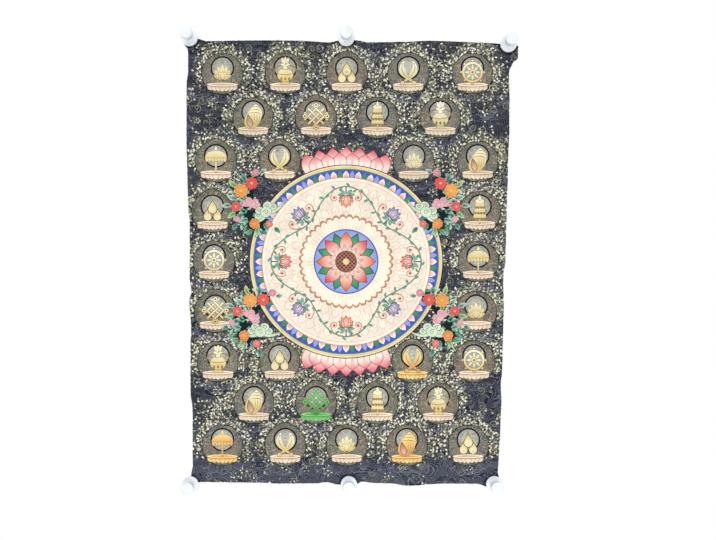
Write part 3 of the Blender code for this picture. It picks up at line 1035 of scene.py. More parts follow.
# The painted sheet's mesh. Its front is cut along every brushed outline, so each colour has a clean
# edge, and it follows the hang of the sheet. Its back is plain, and the raw rim joins the two.
FRONT_Y = -1.2
BACK_Y = 0.0
FRONT_GRID_STEP = 7.0
BACK_GRID_STEP = 8.0
COTTON = (178, 166, 142)
COTTON_STAIN = (142, 122, 94)
WICKED_PAINT = (72, 70, 74)
PAINT_DEPTH = 0.84
MERGE = 0.0001
HAIR = 0.05
# Rings of points round each magnet's foot, and the reach over which the painted shade there fades out.
RING_REACHES = (11.0, 13.2, 15.4, 18.0)
RING_FADE = (11.8, 17.0)
UV_START = (240.0, 645.0)
UV_SPAN = 662.0
BACK_UV_PLACE = (0.752, 0.01)
BACK_UV_SCALE = 0.33
RIM_UV_PLACE = (0.752, 0.40)
RIM_UV_WIDTH = 0.24
RIM_UV_HEIGHT = 0.01
RIM_UV_PITCH = 0.03
RIM_UV_ROWS = 8


def linear(colour):
    """A colour as it looks in the bright light here, 0 to 255, in the linear values that shaders use."""
    share = np.asarray(colour, float) / 255.0
    return np.where(share <= 0.04045, share / 12.92, ((share + 0.055) / 1.055) ** 2.4) * PAINT_DEPTH


def divided(points, shapes, edges=()):
    """Triangles of the plane inside the first shape, cut along every shape, and the last shape on each."""
    vectors = [Vector(point) for point in points]
    faces = [list(shape) for shape in shapes]
    places, _, triangles, origins, _, covers = delaunay_2d_cdt(vectors, edges, faces, 0, MERGE, True)
    kept = [index for index, cover in enumerate(covers) if 0 in cover]
    corners = np.array([triangles[index] for index in kept])
    top = np.array([max(covers[index]) for index in kept])
    return np.array([tuple(place) for place in places]), corners, top, origins


def grid_points(step):
    """Places inside the sheet, so that its surface can follow the hang."""
    wide, tall = steps_over(step)
    return [
        place_on_sheet((column + 0.5) / wide, (row + 0.5) / tall)
        for column in range(wide) for row in range(tall)
    ]


def ring_points():
    """Places round each magnet's foot, so that the painted shade round it has a soft edge."""
    return [
        (magnet.x + reach * math.cos(turn), magnet.z + reach * math.sin(turn))
        for magnet in MAGNETS for reach in RING_REACHES for turn in turns_round(30, 0.5)
    ]


def foot_shade_at(x, z):
    """How much painted shade falls round a magnet's foot at these places, from 0 far off to 1 at the foot.
    """
    near = np.min([np.hypot(x - magnet.x, z - magnet.z) for magnet in MAGNETS], axis=0)
    return 1.0 - smooth_step(*RING_FADE, near)


def sides_of(corners):
    return np.concatenate([corners[:, [0, 1]], corners[:, [1, 2]], corners[:, [2, 0]]])


def rim_loop(corners):
    """The outer vertices in order round the sheet."""
    held = {(a, b) for a, b in sides_of(corners).tolist()}
    following = {a: b for a, b in held if (b, a) not in held}
    first = next(iter(following))
    loop = [first]
    while following[loop[-1]] != first:
        loop.append(following[loop[-1]])
    return loop


def colour_seams(corners, paint):
    """The edges on which one paint meets another."""
    ends = sides_of(corners)
    paint = np.tile(paint, 3)
    ends.sort(axis=1)
    order = np.lexsort((ends[:, 1], ends[:, 0]))
    ends, paint = ends[order], paint[order]
    shared = (ends[1:] == ends[:-1]).all(axis=1)
    return ends[1:][shared & (paint[1:] != paint[:-1])].tolist()


def seam_lines(seams):
    """The seams joined up into lines that run from fork to fork."""
    near = {}
    for a, b in seams:
        near.setdefault(a, []).append(b)
        near.setdefault(b, []).append(a)
    walked = set()
    lines = []
    forks = [point for point, others in near.items() if len(others) != 2]
    for start in forks + list(near):
        for after in near[start]:
            if (start, after) in walked:
                continue
            line = [start, after]
            walked.update(((start, after), (after, start)))
            while len(near[line[-1]]) == 2 and line[-1] != start:
                one, other = near[line[-1]]
                onward = other if one == line[-2] else one
                walked.update(((line[-1], onward), (onward, line[-1])))
                line.append(onward)
            lines.append(line)
    return lines


def thinned(line, places):
    """The line without the points that lie within a hair of the straight run past them."""
    keep = {0, len(line) - 1}
    spans = [(0, len(line) - 1)]
    while spans:
        first, last = spans.pop()
        if last - first < 2:
            continue
        start, end = places[line[first]], places[line[last]]
        inner = places[line[first + 1 : last]] - start
        run = end - start
        length = math.hypot(*run)
        if length < MERGE:
            away = np.hypot(inner[:, 0], inner[:, 1])
        else:
            away = np.abs(inner[:, 0] * run[1] - inner[:, 1] * run[0]) / length
        middle = first + 1 + int(away.argmax())
        if away.max() > HAIR:
            keep.add(middle)
            spans += [(first, middle), (middle, last)]
    return [line[index] for index in sorted(keep)]


def painted_plane():
    """The front as flat triangles, with the paint on each: drawn whole, then again with seams alone."""
    same = {}
    paint_of_shape = np.array([same.setdefault(look, index) for index, look in enumerate(painted_looks)])
    drawn, corners, top, _ = divided(painted_points, painted_shapes)
    paint = paint_of_shape[top]
    loop = rim_loop(corners)
    on_rim = set(loop)
    lines = [thinned(line, drawn) for line in seam_lines(colour_seams(corners, paint))]
    used = loop + sorted({point for line in lines for point in line} - on_rim)
    fresh = {old: new for new, old in enumerate(used)}
    edges = [(fresh[a], fresh[b]) for line in lines for a, b in zip(line, line[1:])]
    points = [tuple(drawn[index]) for index in used] + grid_points(FRONT_GRID_STEP) + ring_points()
    places, cut, _, _ = divided(points, [range(len(loop))], edges)
    finder = BVHTree.FromPolygons([(x, z, 0.0) for x, z in drawn], corners.tolist(), all_triangles=True)
    middles = places[cut].mean(axis=1)
    nearest = [finder.find_nearest((x, z, 0.0))[2] for x, z in middles]
    return places, cut, paint[nearest]


def front_colours(places, corners, top):
    """The linear colour at each corner of the front's triangles, and each triangle's other values."""

    def on_each(name):
        return np.array([getattr(look, name) for look in painted_looks])[top]

    first, last = linear(on_each("first"))[:, None, :], linear(on_each("last"))[:, None, :]
    reach = on_each("reach")
    away = places[corners] - on_each("origin")[:, None, :]
    along = (away * reach[:, None, :]).sum(-1) / np.maximum((reach * reach).sum(-1), 1e-9)[:, None]
    out = np.linalg.norm(away, axis=-1) / np.maximum(np.linalg.norm(reach, axis=-1), 1e-9)[:, None]
    share = np.clip(np.where(on_each("round_fade")[:, None], out, along), 0.0, 1.0)[..., None]
    return first * (1.0 - share) + last * share, on_each("gilt"), on_each("filigree")


def raised(flat, depth):
    """The places on the hanging sheet of these places on the flat one."""
    y = depth - lift_of(flat[:, 0], flat[:, 1])
    return np.stack([flat[:, 0], y, flat[:, 1]], axis=1) * MM


def sheet_mesh():
    places, corners, top = painted_plane()
    used = np.unique(corners)
    fresh = np.full(len(places), -1)
    fresh[used] = np.arange(len(used))
    places, corners = places[used], fresh[corners]
    loop = rim_loop(corners)
    back_points = [tuple(places[index]) for index in loop] + grid_points(BACK_GRID_STEP)
    back_places, back_corners, _, origins = divided(back_points, [range(len(loop))])
    twin = {old: new for new, olds in enumerate(origins) for old in olds if old < len(loop)}

    count = len(places)
    vertices = np.concatenate([raised(places, FRONT_Y), raised(back_places, BACK_Y)])
    front = corners.tolist()
    back = (back_corners[:, ::-1] + count).tolist()
    rim = []
    for step, index in enumerate(loop):
        after = (step + 1) % len(loop)
        rim.append([loop[after], index, count + twin[step], count + twin[after]])
    mesh = bpy.data.meshes.new("painted_sheet")
    mesh.from_pydata(vertices.tolist(), [], front + back + rim)

    colour, gilt, filigree = front_colours(places, corners, top)
    bare = np.zeros(3 * len(back) + 4 * len(rim))
    pigment = np.concatenate([colour.reshape(-1, 3), np.tile(linear(COTTON), (len(bare), 1))])
    pigment = np.column_stack([pigment, np.ones(len(pigment))])
    mesh.color_attributes.new("pigment", "FLOAT_COLOR", "CORNER").data.foreach_set("color", pigment.ravel())
    x, z = np.concatenate([places, back_places]).T
    on_rim = np.zeros(len(x))
    on_rim[loop + [count + twin[step] for step in range(len(loop))]] = 1.0
    from_disc = np.hypot(x - MEDALLION_X, z - MEDALLION_Z) - MEDALLION_RADIUS * MEDALLION_SIZE
    for name, domain, values in (
        ("gilt", "CORNER", np.concatenate([np.repeat(gilt, 3), bare])),
        ("filigree", "CORNER", np.concatenate([np.repeat(filigree, 3), bare])),
        ("painted", "CORNER", np.concatenate([np.ones(3 * len(front)), bare])),
        ("foliage", "POINT", foliage_at(x, z)),
        ("wicked", "POINT", on_rim),
        ("foot_shade", "POINT", foot_shade_at(x, z)),
        ("under_dark", "POINT", smooth_step(-6.0, 6.0, from_disc)),
    ):
        layer = mesh.attributes.new(name, "FLOAT", domain)
        layer.data.foreach_set("value", values.astype(np.float32))
    add_map(mesh, len(front), len(back), len(loop))
    mesh.shade_smooth()
    mesh.set_sharp_from_angle(angle=math.radians(40.0))
    return mesh


def add_map(mesh, fronts, backs, rims):
    """A flat map: the front large, the back small beside it, and the rim in short rows above that."""
    corner_vertex = np.empty(len(mesh.loops), np.int32)
    mesh.loops.foreach_get("vertex_index", corner_vertex)
    place = np.empty(len(mesh.vertices) * 3)
    mesh.vertices.foreach_get("co", place)
    place = place.reshape(-1, 3)[corner_vertex] / MM
    uv = (place[:, [0, 2]] + UV_START) / UV_SPAN
    back_start, rim_start = 3 * fronts, 3 * (fronts + backs)
    uv[back_start:rim_start] = BACK_UV_PLACE + uv[back_start:rim_start] * BACK_UV_SCALE
    per_row = math.ceil(rims / RIM_UV_ROWS)
    row, column = np.divmod(np.arange(rims), per_row)
    left = RIM_UV_PLACE[0] + RIM_UV_WIDTH * column / per_row
    right = RIM_UV_PLACE[0] + RIM_UV_WIDTH * (column + 1) / per_row
    low = RIM_UV_PLACE[1] + RIM_UV_PITCH * row
    high = low + RIM_UV_HEIGHT
    quads = [np.stack(corner, 1) for corner in ((right, low), (left, low), (left, high), (right, high))]
    uv[rim_start:] = np.stack(quads, 1).reshape(-1, 2)
    mesh.uv_layers.new(name="OFBake").data.foreach_set("uv", uv.ravel())


def socket(node, name, value):
    """Gives a node's input its value or its link."""
    wanted = node.inputs[name]
    if isinstance(value, bpy.types.NodeSocket):
        node.id_data.links.new(value, wanted)
    else:
        wanted.default_value = value
    return node


def add_node(tree, kind, inputs=None, **settings):
    node = tree.nodes.new(kind)
    for name, value in settings.items():
        setattr(node, name, value)
    for name, value in (inputs or {}).items():
        socket(node, name, value)
    return node


def tone(colour):
    """A colour as a node's input takes it."""
    return tuple(linear(colour))


def maths(tree, operation, first, second=None, third=None):
    node = add_node(tree, "ShaderNodeMath", operation=operation)
    for index, value in enumerate((first, second, third)):
        if value is not None:
            socket(node, index, value)
    return node.outputs[0]


def product(tree, first, *others):
    for other in others:
        first = maths(tree, "MULTIPLY", first, other)
    return first


def attribute_of(tree, name, output="Fac"):
    return add_node(tree, "ShaderNodeAttribute", attribute_name=name).outputs[output]


def parts_of(tree, vector):
    return add_node(tree, "ShaderNodeSeparateXYZ", {"Vector": vector}).outputs


def ranged(tree, value, low, high, new_low, new_high):
    inputs = {"Value": value, "From Min": low, "From Max": high, "To Min": new_low, "To Max": new_high}
    return add_node(tree, "ShaderNodeMapRange", inputs).outputs["Result"]


def mixed(tree, share, first, second, blend="MIX"):
    node = add_node(tree, "ShaderNodeMix", data_type="RGBA", blend_type=blend)
    socket(node, "Factor", share)
    for name, value in (("A", first), ("B", second)):
        wanted = next(s for s in node.inputs if s.name == name and s.type == "RGBA")
        if isinstance(value, bpy.types.NodeSocket):
            tree.links.new(value, wanted)
        else:
            wanted.default_value = (*value, 1.0)
    return next(s for s in node.outputs if s.type == "RGBA")


def noise(tree, place, scale, detail=3.0, roughness=0.55, distortion=0.0):
    inputs = {"Vector": place, "Scale": scale, "Detail": detail}
    inputs |= {"Roughness": roughness, "Distortion": distortion}
    return add_node(tree, "ShaderNodeTexNoise", inputs).outputs["Fac"]


def vector_of(tree, operation, first, second=None, scale=None):
    node = add_node(tree, "ShaderNodeVectorMath", operation=operation)
    socket(node, 0, first)
    if second is not None:
        socket(node, 1, second)
    if scale is not None:
        socket(node, "Scale", scale)
    return node.outputs["Value" if operation in ("LENGTH", "DISTANCE") else "Vector"]


def new_finish(name):
    """A material with its node tree, its shader and the place on the object that its patterns read."""
    made = bpy.data.materials.new(name)
    made.use_nodes = True
    tree = made.node_tree
    place = add_node(tree, "ShaderNodeTexCoord").outputs["Object"]
    return made, tree, tree.nodes["Principled BSDF"], place


def add_bump(tree, shader, height, strength, distance):
    inputs = {"Height": height, "Strength": strength, "Distance": distance}
    socket(shader, "Normal", add_node(tree, "ShaderNodeBump", inputs).outputs["Normal"])


def own_cell(tree, flat, pitch, randomness=0.9):
    """Divides the sheet into cells: the way from the cell's middle in cell widths, and its own numbers."""
    scaled = vector_of(tree, "SCALE", flat, scale=1.0 / pitch)
    inputs = {"Vector": scaled, "Scale": 1.0, "Randomness": randomness}
    cell = add_node(tree, "ShaderNodeTexVoronoi", inputs, voronoi_dimensions="2D", feature="F1")
    own = add_node(tree, "ShaderNodeSeparateColor", {"Color": cell.outputs["Color"]})
    return vector_of(tree, "SUBTRACT", scaled, cell.outputs["Position"]), own.outputs


def grown_at(tree, chance, own):
    """Whether a cell has anything in it: 1 where the chance there is above the cell's own number."""
    return ranged(tree, maths(tree, "SUBTRACT", chance, own["Blue"]), 0.0, 0.04, 0.0, 1.0)


def leaf_litter(tree, flat, pitch, long, wide, chance):
    """One leaf to a cell, at its own slant: how far it covers this place, and its own number."""
    away, own = own_cell(tree, flat, pitch)
    slant = {"Vector": away, "Angle": product(tree, own["Red"], 2.0 * math.pi)}
    turned = add_node(tree, "ShaderNodeVectorRotate", slant, rotation_type="Z_AXIS")
    parts = parts_of(tree, turned.outputs[0])
    along = maths(tree, "DIVIDE", parts["X"], long)
    side = maths(tree, "DIVIDE", maths(tree, "ABSOLUTE", parts["Y"]), wide)
    inside = maths(tree, "SUBTRACT", maths(tree, "SUBTRACT", 1.0, product(tree, along, along)), side)
    cover = ranged(tree, inside, 0.0, 0.3, 0.0, 1.0)
    return product(tree, cover, grown_at(tree, chance, own)), own["Green"]


def off_middle(tree, number):
    """How far a number's fraction is from a half."""
    return maths(tree, "ABSOLUTE", maths(tree, "SUBTRACT", maths(tree, "FRACT", number), 0.5))


def scroll_stems(tree, flat, pitch, chance, turns=3.6, line=0.16):
    """One curled stem to a cell, wound to the left or to the right."""
    away, own = own_cell(tree, flat, pitch, 0.7)
    parts = parts_of(tree, away)
    reach = vector_of(tree, "LENGTH", away)
    turn = maths(tree, "DIVIDE", maths(tree, "ARCTAN2", parts["Y"], parts["X"]), 2.0 * math.pi)
    hand = maths(tree, "SIGN", maths(tree, "SUBTRACT", own["Green"], 0.5))
    wound = maths(tree, "MULTIPLY_ADD", turn, hand, maths(tree, "MULTIPLY_ADD", reach, turns, own["Red"]))
    stem = ranged(tree, off_middle(tree, wound), line * 0.4, line, 1.0, 0.0)
    within = ranged(tree, reach, 0.40, 0.44, 1.0, 0.0)
    return product(tree, stem, within, grown_at(tree, chance, own))


def combed_lines(tree, flat, scale, count, line):
    """Fine lines that run beside each other in folds, as clouds, rocks and water are drawn."""
    swirl = noise(tree, flat, scale, 1.6, 0.5, 0.9)
    return ranged(tree, off_middle(tree, product(tree, swirl, count)), line * 0.5, line, 1.0, 0.0)


def chosen(tree, number, colours):
    """One of the colours, by a number from 0 to 1."""
    node = add_node(tree, "ShaderNodeValToRGB", {"Fac": number})
    node.color_ramp.interpolation = "CONSTANT"
    while len(node.color_ramp.elements) < len(colours):
        node.color_ramp.elements.new(1.0)
    for step, (element, colour) in enumerate(zip(node.color_ramp.elements, colours)):
        element.position = step / len(colours)
        element.color = (*linear(colour), 1.0)
    return node.outputs["Color"]


def painted_ground(tree, flat, bare, foliage):
    """The dark ground with its fine brushwork: combed clouds, scroll stems and three sizes of leaf."""
    drift = noise(tree, vector_of(tree, "MULTIPLY", flat, (1.0, 2.4, 1.0)), 90.0, 4.0, 0.62)
    bare = mixed(tree, ranged(tree, drift, 0.49, 0.66, 0.0, 0.5), bare, tone((98, 103, 118)))
    patches = noise(tree, flat, 17.0, 2.0)
    up = parts_of(tree, flat)["Y"]
    water = ranged(tree, up, (WATER_Z + WATER_BLUR) * MM, (WATER_Z - 8.0) * MM, 0.0, 1.0)
    cloudy = maths(tree, "MAXIMUM", ranged(tree, patches, 0.42, 0.58, 0.15, 1.0), water)
    strength = maths(tree, "MULTIPLY_ADD", water, 0.3, 0.6)
    drawn = product(tree, combed_lines(tree, flat, 23.0, 40.0, 0.22), cloudy, strength)
    colour = mixed(tree, drawn, bare, tone((116, 120, 130)))
    rocky = ranged(tree, patches, 0.5, 0.4, 0.0, 1.0)
    rocks = product(tree, combed_lines(tree, flat, 41.0, 22.0, 0.2), rocky, 0.5)
    colour = mixed(tree, rocks, colour, tone((134, 134, 124)))
    stems = scroll_stems(tree, flat, 0.0145, maths(tree, "MULTIPLY_ADD", foliage, 0.7, 0.25))
    colour = mixed(tree, product(tree, stems, 0.8), colour, tone(OLIVE))
    for pitch, long, wide, share, colours in (
        (0.0031, 0.44, 0.26, 1.10, (MOSS, OLIVE, SLATE, MOSS, (150, 140, 120))),
        (0.0047, 0.42, 0.25, 0.85, (OLIVE, STRAW, DRY_LEAF, OLIVE, CREAM)),
        (0.0060, 0.38, 0.22, 0.90, (CREAM, STRAW, CREAM, BLUSH_LEAF, CREAM)),
    ):
        leaf, own = leaf_litter(tree, flat, pitch, long, wide, product(tree, foliage, share))
        colour = mixed(tree, leaf, colour, chosen(tree, own, colours))
    return colour


def bare_cotton(tree, flat, cotton):
    """The unpainted back: slubs, old damp stains, and paint that has wicked through from the front."""

    def slubs(stretch):
        drawn_out = vector_of(tree, "MULTIPLY", flat, stretch)
        return ranged(tree, noise(tree, drawn_out, 14.0), 0.3, 0.7, 0.55, 1.3)

    streaks = product(tree, slubs((3.0, 60.0, 1.0)), slubs((60.0, 3.0, 1.0)))
    colour = mixed(tree, ranged(tree, streaks, 0.4, 1.5, 0.0, 0.6), cotton, tone((206, 196, 174)))
    stains = ranged(tree, noise(tree, flat, 6.5, 5.0, 0.6, 0.4), 0.5, 0.72, 0.0, 0.55)
    colour = mixed(tree, stains, colour, tone(COTTON_STAIN))
    pricks = ranged(tree, noise(tree, flat, 420.0), 0.5, 0.72, 0.12, 0.6)
    ghost = product(tree, attribute_of(tree, "under_dark"), pricks)
    colour = mixed(tree, ghost, colour, tone((104, 100, 98)))
    wicked = maths(tree, "SUBTRACT", attribute_of(tree, "wicked"), 0.4)
    frayed = maths(tree, "MULTIPLY_ADD", noise(tree, flat, 150.0), 0.8, wicked)
    return mixed(tree, ranged(tree, frayed, 0.45, 0.95, 0.0, 0.85), colour, tone(WICKED_PAINT))


def brushed_disc(tree, flat, colour, filigree, on_ground):
    """Warm patches, pale glints and fine dark lines inside the discs, but not on the bare ground."""
    off_ground = ranged(tree, on_ground, 0.0, 1.0, 1.0, 0.0)
    on_disc = product(tree, ranged(tree, filigree, 0.51, 0.54, 0.0, 1.0), off_ground)
    warm = product(tree, on_disc, ranged(tree, noise(tree, flat, 70.0, 2.0), 0.46, 0.6, 0.0, 0.45))
    colour = mixed(tree, warm, colour, tone((150, 124, 106)))
    glints = product(tree, on_disc, combed_lines(tree, flat, 75.0, 12.0, 0.17), 0.55)
    colour = mixed(tree, glints, colour, tone((204, 198, 168)))
    fine = product(tree, combed_lines(tree, flat, 95.0, 9.0, 0.2), filigree, off_ground, 0.75)
    return mixed(tree, fine, colour, tone((66, 68, 70)))


def painted_cotton():
    """Matt distemper on a plain weave, crazed and rubbed a little, with dull gold in it."""
    made, tree, shader, place = new_finish("painted_cotton")
    parts = parts_of(tree, place)
    flat = add_node(tree, "ShaderNodeCombineXYZ", {"X": parts["X"], "Y": parts["Z"]}).outputs[0]
    pigment = attribute_of(tree, "pigment", "Color")
    gilt = attribute_of(tree, "gilt")
    filigree = attribute_of(tree, "filigree")
    painted = attribute_of(tree, "painted")

    on_ground = ranged(tree, filigree, 0.9, 0.95, 0.0, 1.0)
    ground = painted_ground(tree, flat, pigment, attribute_of(tree, "foliage"))
    colour = mixed(tree, on_ground, pigment, ground)
    colour = mixed(tree, painted, bare_cotton(tree, flat, pigment), colour)
    # Painted shade: the cloth goes near-black round each magnet's foot, broken up by noise.
    shade_breakup = ranged(tree, noise(tree, flat, 130.0), 0.3, 0.6, 0.7, 0.95)
    shade_share = product(tree, attribute_of(tree, "foot_shade"), shade_breakup, painted)
    colour = mixed(tree, shade_share, colour, tone((14, 15, 20)))
    colour = brushed_disc(tree, flat, colour, filigree, on_ground)

    def threads(direction):
        inputs = {"Vector": place, "Scale": 290.0, "Distortion": 0.6, "Detail": 1.0, "Detail Scale": 2.0}
        return add_node(tree, "ShaderNodeTexWave", inputs, bands_direction=direction).outputs["Fac"]

    weave = product(tree, threads("X"), threads("Z"))
    patchy = noise(tree, place, 55.0, 4.0)
    shade = product(
        tree,
        ranged(tree, patchy, 0.3, 0.7, 0.88, 1.1),
        ranged(tree, noise(tree, place, 9.0, 4.0), 0.3, 0.7, 0.93, 1.05),
        ranged(tree, noise(tree, place, 900.0, 2.0), 0.3, 0.7, 0.88, 1.1),
    )
    shades = add_node(tree, "ShaderNodeCombineColor", {"Red": shade, "Green": shade, "Blue": shade})
    colour = mixed(tree, 1.0, colour, shades.outputs[0], "MULTIPLY")
    rubbed = product(tree, ranged(tree, noise(tree, place, 22.0, 6.0, 0.7), 0.62, 0.72, 0.0, 0.4), weave)
    socket(shader, "Base Color", mixed(tree, rubbed, colour, tone((140, 138, 134))))
    socket(shader, "Metallic", product(tree, gilt, 0.2))
    matt = ranged(tree, patchy, 0.3, 0.7, 0.8, 0.94)
    socket(shader, "Roughness", maths(tree, "SUBTRACT", matt, product(tree, gilt, 0.3)))
    shader.inputs["Specular IOR Level"].default_value = 0.1
    height = maths(tree, "ADD", product(tree, weave, 0.6), product(tree, patchy, 0.5))
    add_bump(tree, shader, height, 0.35, 0.0003)
    return made


def add_piece(name, mesh, *materials):
    made = bpy.data.objects.new(name, mesh)
    bpy.context.scene.collection.objects.link(made)
    for material in materials:
        mesh.materials.append(material)
    return made


painted_sheet = add_piece("painted_sheet", sheet_mesh(), painted_cotton())
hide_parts("painted_cloth")
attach(painted_sheet, "root")


# The loose threads. The sheet is cut and not hemmed, so short ends of its warp and weft stand out of
# all four edges, a millimetre or two long, greyed by the paint that wicked into them.
THREAD_SPACING = 1.9
THREAD_SHARE = 0.55
THREAD_LENGTH = (0.5, 1.9)
THREAD_RADIUS = 0.13
THREAD_SPREAD = 0.75
THREAD_BEND = 1.6
THREAD_SEED = 7
EDGE_INSET = 0.3


def edge_line_mesh():
    """The sheet's cut edge as a closed line half way through the cloth, with the way out of the cloth."""
    flat = np.array(sheet_outline)
    ahead, behind = np.roll(flat, -1, axis=0), np.roll(flat, 1, axis=0)
    run = ahead - behind
    way = np.stack([run[:, 1], np.zeros(len(flat)), -run[:, 0]], axis=1)
    way /= np.linalg.norm(way, axis=1)[:, None]
    y = (FRONT_Y + BACK_Y) / 2.0 - lift_of(flat[:, 0], flat[:, 1])
    inset = flat - way[:, [0, 2]] * EDGE_INSET
    places = np.stack([inset[:, 0], y, inset[:, 1]], axis=1) * MM
    mesh = bpy.data.meshes.new("cut_edge")
    mesh.from_pydata(places.tolist(), [(i, (i + 1) % len(flat)) for i in range(len(flat))], [])
    layer = mesh.attributes.new("way_out", "FLOAT_VECTOR", "POINT")
    layer.data.foreach_set("vector", way.ravel())
    return mesh


def thread_cotton():
    """Limp undyed cotton yarn, greyed, a little lighter and darker along its length."""
    made, tree, shader, place = new_finish("loose_thread")
    share = ranged(tree, noise(tree, place, 160.0), 0.4, 0.6, 0.0, 1.0)
    socket(shader, "Base Color", mixed(tree, share, tone((62, 62, 68)), tone((150, 144, 134))))
    twist = add_node(tree, "ShaderNodeTexWave", {"Vector": place, "Scale": 900.0, "Distortion": 2.0})
    add_bump(tree, shader, twist.outputs["Fac"], 0.4, 0.0001)
    shader.inputs["Roughness"].default_value = 0.9
    return made


def resampled(tree, curve, mode, name, value):
    inputs = {"Curve": curve, name: value}
    return add_node(tree, "GeometryNodeResampleCurve", inputs, mode=mode).outputs[0]


def random_value(tree, kind, out, seed, inputs):
    """A random value for each place. Min and Max are inputs 0 and 1 of a vector, 2 and 3 of a number."""
    node = add_node(tree, "FunctionNodeRandomValue", {"Seed": seed, **inputs}, data_type=kind)
    return next(s for s in node.outputs if s.type == out)


def thread_tree(material):
    """Sets a short bent thread at many points along a line, each pointing its own way out."""
    tree = bpy.data.node_groups.new("loose_threads", "GeometryNodeTree")
    tree.interface.new_socket("Geometry", in_out="INPUT", socket_type="NodeSocketGeometry")
    for name, value in (
        ("Spacing", THREAD_SPACING * MM),
        ("Share", THREAD_SHARE),
        ("Radius", THREAD_RADIUS * MM),
        ("Shortest", THREAD_LENGTH[0] * MM),
        ("Longest", THREAD_LENGTH[1] * MM),
        ("Spread", THREAD_SPREAD),
        ("Bend", THREAD_BEND * MM),
    ):
        size = tree.interface.new_socket(name, in_out="INPUT", socket_type="NodeSocketFloat")
        size.default_value = value
    draw = tree.interface.new_socket("Seed", in_out="INPUT", socket_type="NodeSocketInt")
    draw.default_value = THREAD_SEED
    tree.interface.new_socket("Geometry", in_out="OUTPUT", socket_type="NodeSocketGeometry")

    given = add_node(tree, "NodeGroupInput").outputs
    edge = add_node(tree, "GeometryNodeMeshToCurve", {"Mesh": given["Geometry"]}).outputs[0]
    edge = resampled(tree, edge, "LENGTH", "Length", given["Spacing"])
    straight = add_node(tree, "GeometryNodeCurvePrimitiveLine", {"Start": (0, 0, 0), "End": (0, 0, 1)})
    straight = resampled(tree, straight.outputs[0], "COUNT", "Count", 5)

    seed = given["Seed"]
    lengths = {2: given["Shortest"], 3: given["Longest"]}
    kept = random_value(tree, "BOOLEAN", "BOOLEAN", seed, {"Probability": given["Share"]})
    lean = random_value(tree, "FLOAT_VECTOR", "VECTOR", seed, {0: (-1, -1, -1), 1: (1, 0, 1)})
    long = random_value(tree, "FLOAT", "VALUE", seed, lengths)
    way = add_node(tree, "GeometryNodeInputNamedAttribute", {"Name": "way_out"}, data_type="FLOAT_VECTOR")
    leaning = vector_of(tree, "SCALE", lean, scale=given["Spread"])
    way = vector_of(tree, "ADD", way.outputs["Attribute"], leaning)
    turned = add_node(tree, "FunctionNodeAlignRotationToVector", {"Vector": way}, axis="Z").outputs[0]
    placed = {"Points": edge, "Selection": kept, "Instance": straight, "Rotation": turned, "Scale": long}
    threads = add_node(tree, "GeometryNodeInstanceOnPoints", placed).outputs[0]
    threads = add_node(tree, "GeometryNodeRealizeInstances", {"Geometry": threads}).outputs[0]

    along = add_node(tree, "GeometryNodeSplineParameter").outputs["Factor"]
    drift = add_node(tree, "ShaderNodeTexNoise", {"Scale": 700.0, "Detail": 0.0}).outputs["Color"]
    off = vector_of(tree, "SUBTRACT", drift, (0.5, 0.5, 0.5))
    off = vector_of(tree, "SCALE", off, scale=product(tree, along, given["Bend"]))
    threads = add_node(tree, "GeometryNodeSetPosition", {"Geometry": threads, "Offset": off}).outputs[0]
    ring = add_node(tree, "GeometryNodeCurvePrimitiveCircle", {"Resolution": 4, "Radius": given["Radius"]})
    tube = {"Curve": threads, "Profile Curve": ring.outputs[0], "Fill Caps": True}
    threads = add_node(tree, "GeometryNodeCurveToMesh", tube).outputs[0]
    threads = add_node(tree, "GeometryNodeRealizeInstances", {"Geometry": threads}).outputs[0]
    finished = add_node(tree, "GeometryNodeSetMaterial", {"Geometry": threads, "Material": material})
    add_node(tree, "NodeGroupOutput", {"Geometry": finished.outputs[0]})
    return tree


def made_by_nodes(name, start_mesh, tree, material):
    """Runs a node tree on a mesh and keeps the result as a plain piece."""
    start = bpy.data.objects.new(name + "_start", start_mesh)
    bpy.context.scene.collection.objects.link(start)
    modifier = start.modifiers.new(name, "NODES")
    modifier.node_group = tree
    ready = start.evaluated_get(bpy.context.evaluated_depsgraph_get())
    mesh = bpy.data.meshes.new_from_object(ready)
    mesh.name = name
    mesh.materials.clear()
    bpy.data.objects.remove(start)
    return add_piece(name, mesh, material)


thread_paint = thread_cotton()
loose_threads = made_by_nodes("loose_threads", edge_line_mesh(), thread_tree(thread_paint), thread_paint)
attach(loose_threads, "root")


# The magnets. Six spools moulded in white plastic, each with a disc magnet set in its foot. They grip
# a steel board through the cloth, three along the top edge and three along the bottom one. The wide
# foot sits on the cloth, the waist is drawn in for two fingers, and the head has a rounded rim.
MAGNET_HEIGHT = 25.0
FOOT_RADIUS = 11.8
FOOT_HEIGHT = 4.0
FOOT_BACK_ROUND = 0.6
FOOT_FRONT_ROUND = 1.3
WAIST_RADIUS = 5.6
WAIST_HOLLOW = 1.7
HEAD_RADIUS = 9.0
HEAD_HEIGHT = 8.5
HEAD_INNER_ROUND = 1.0
HEAD_OUTER_ROUND = 2.4
HEAD_CROWN = 0.3
SEAT_GAP = 0.3
MAGNET_SIDES = 72
ARC_STEPS = 8
CROWN_STEPS = 5

Arc = namedtuple("Arc", "radius_at height_at round_by start_deg end_deg")


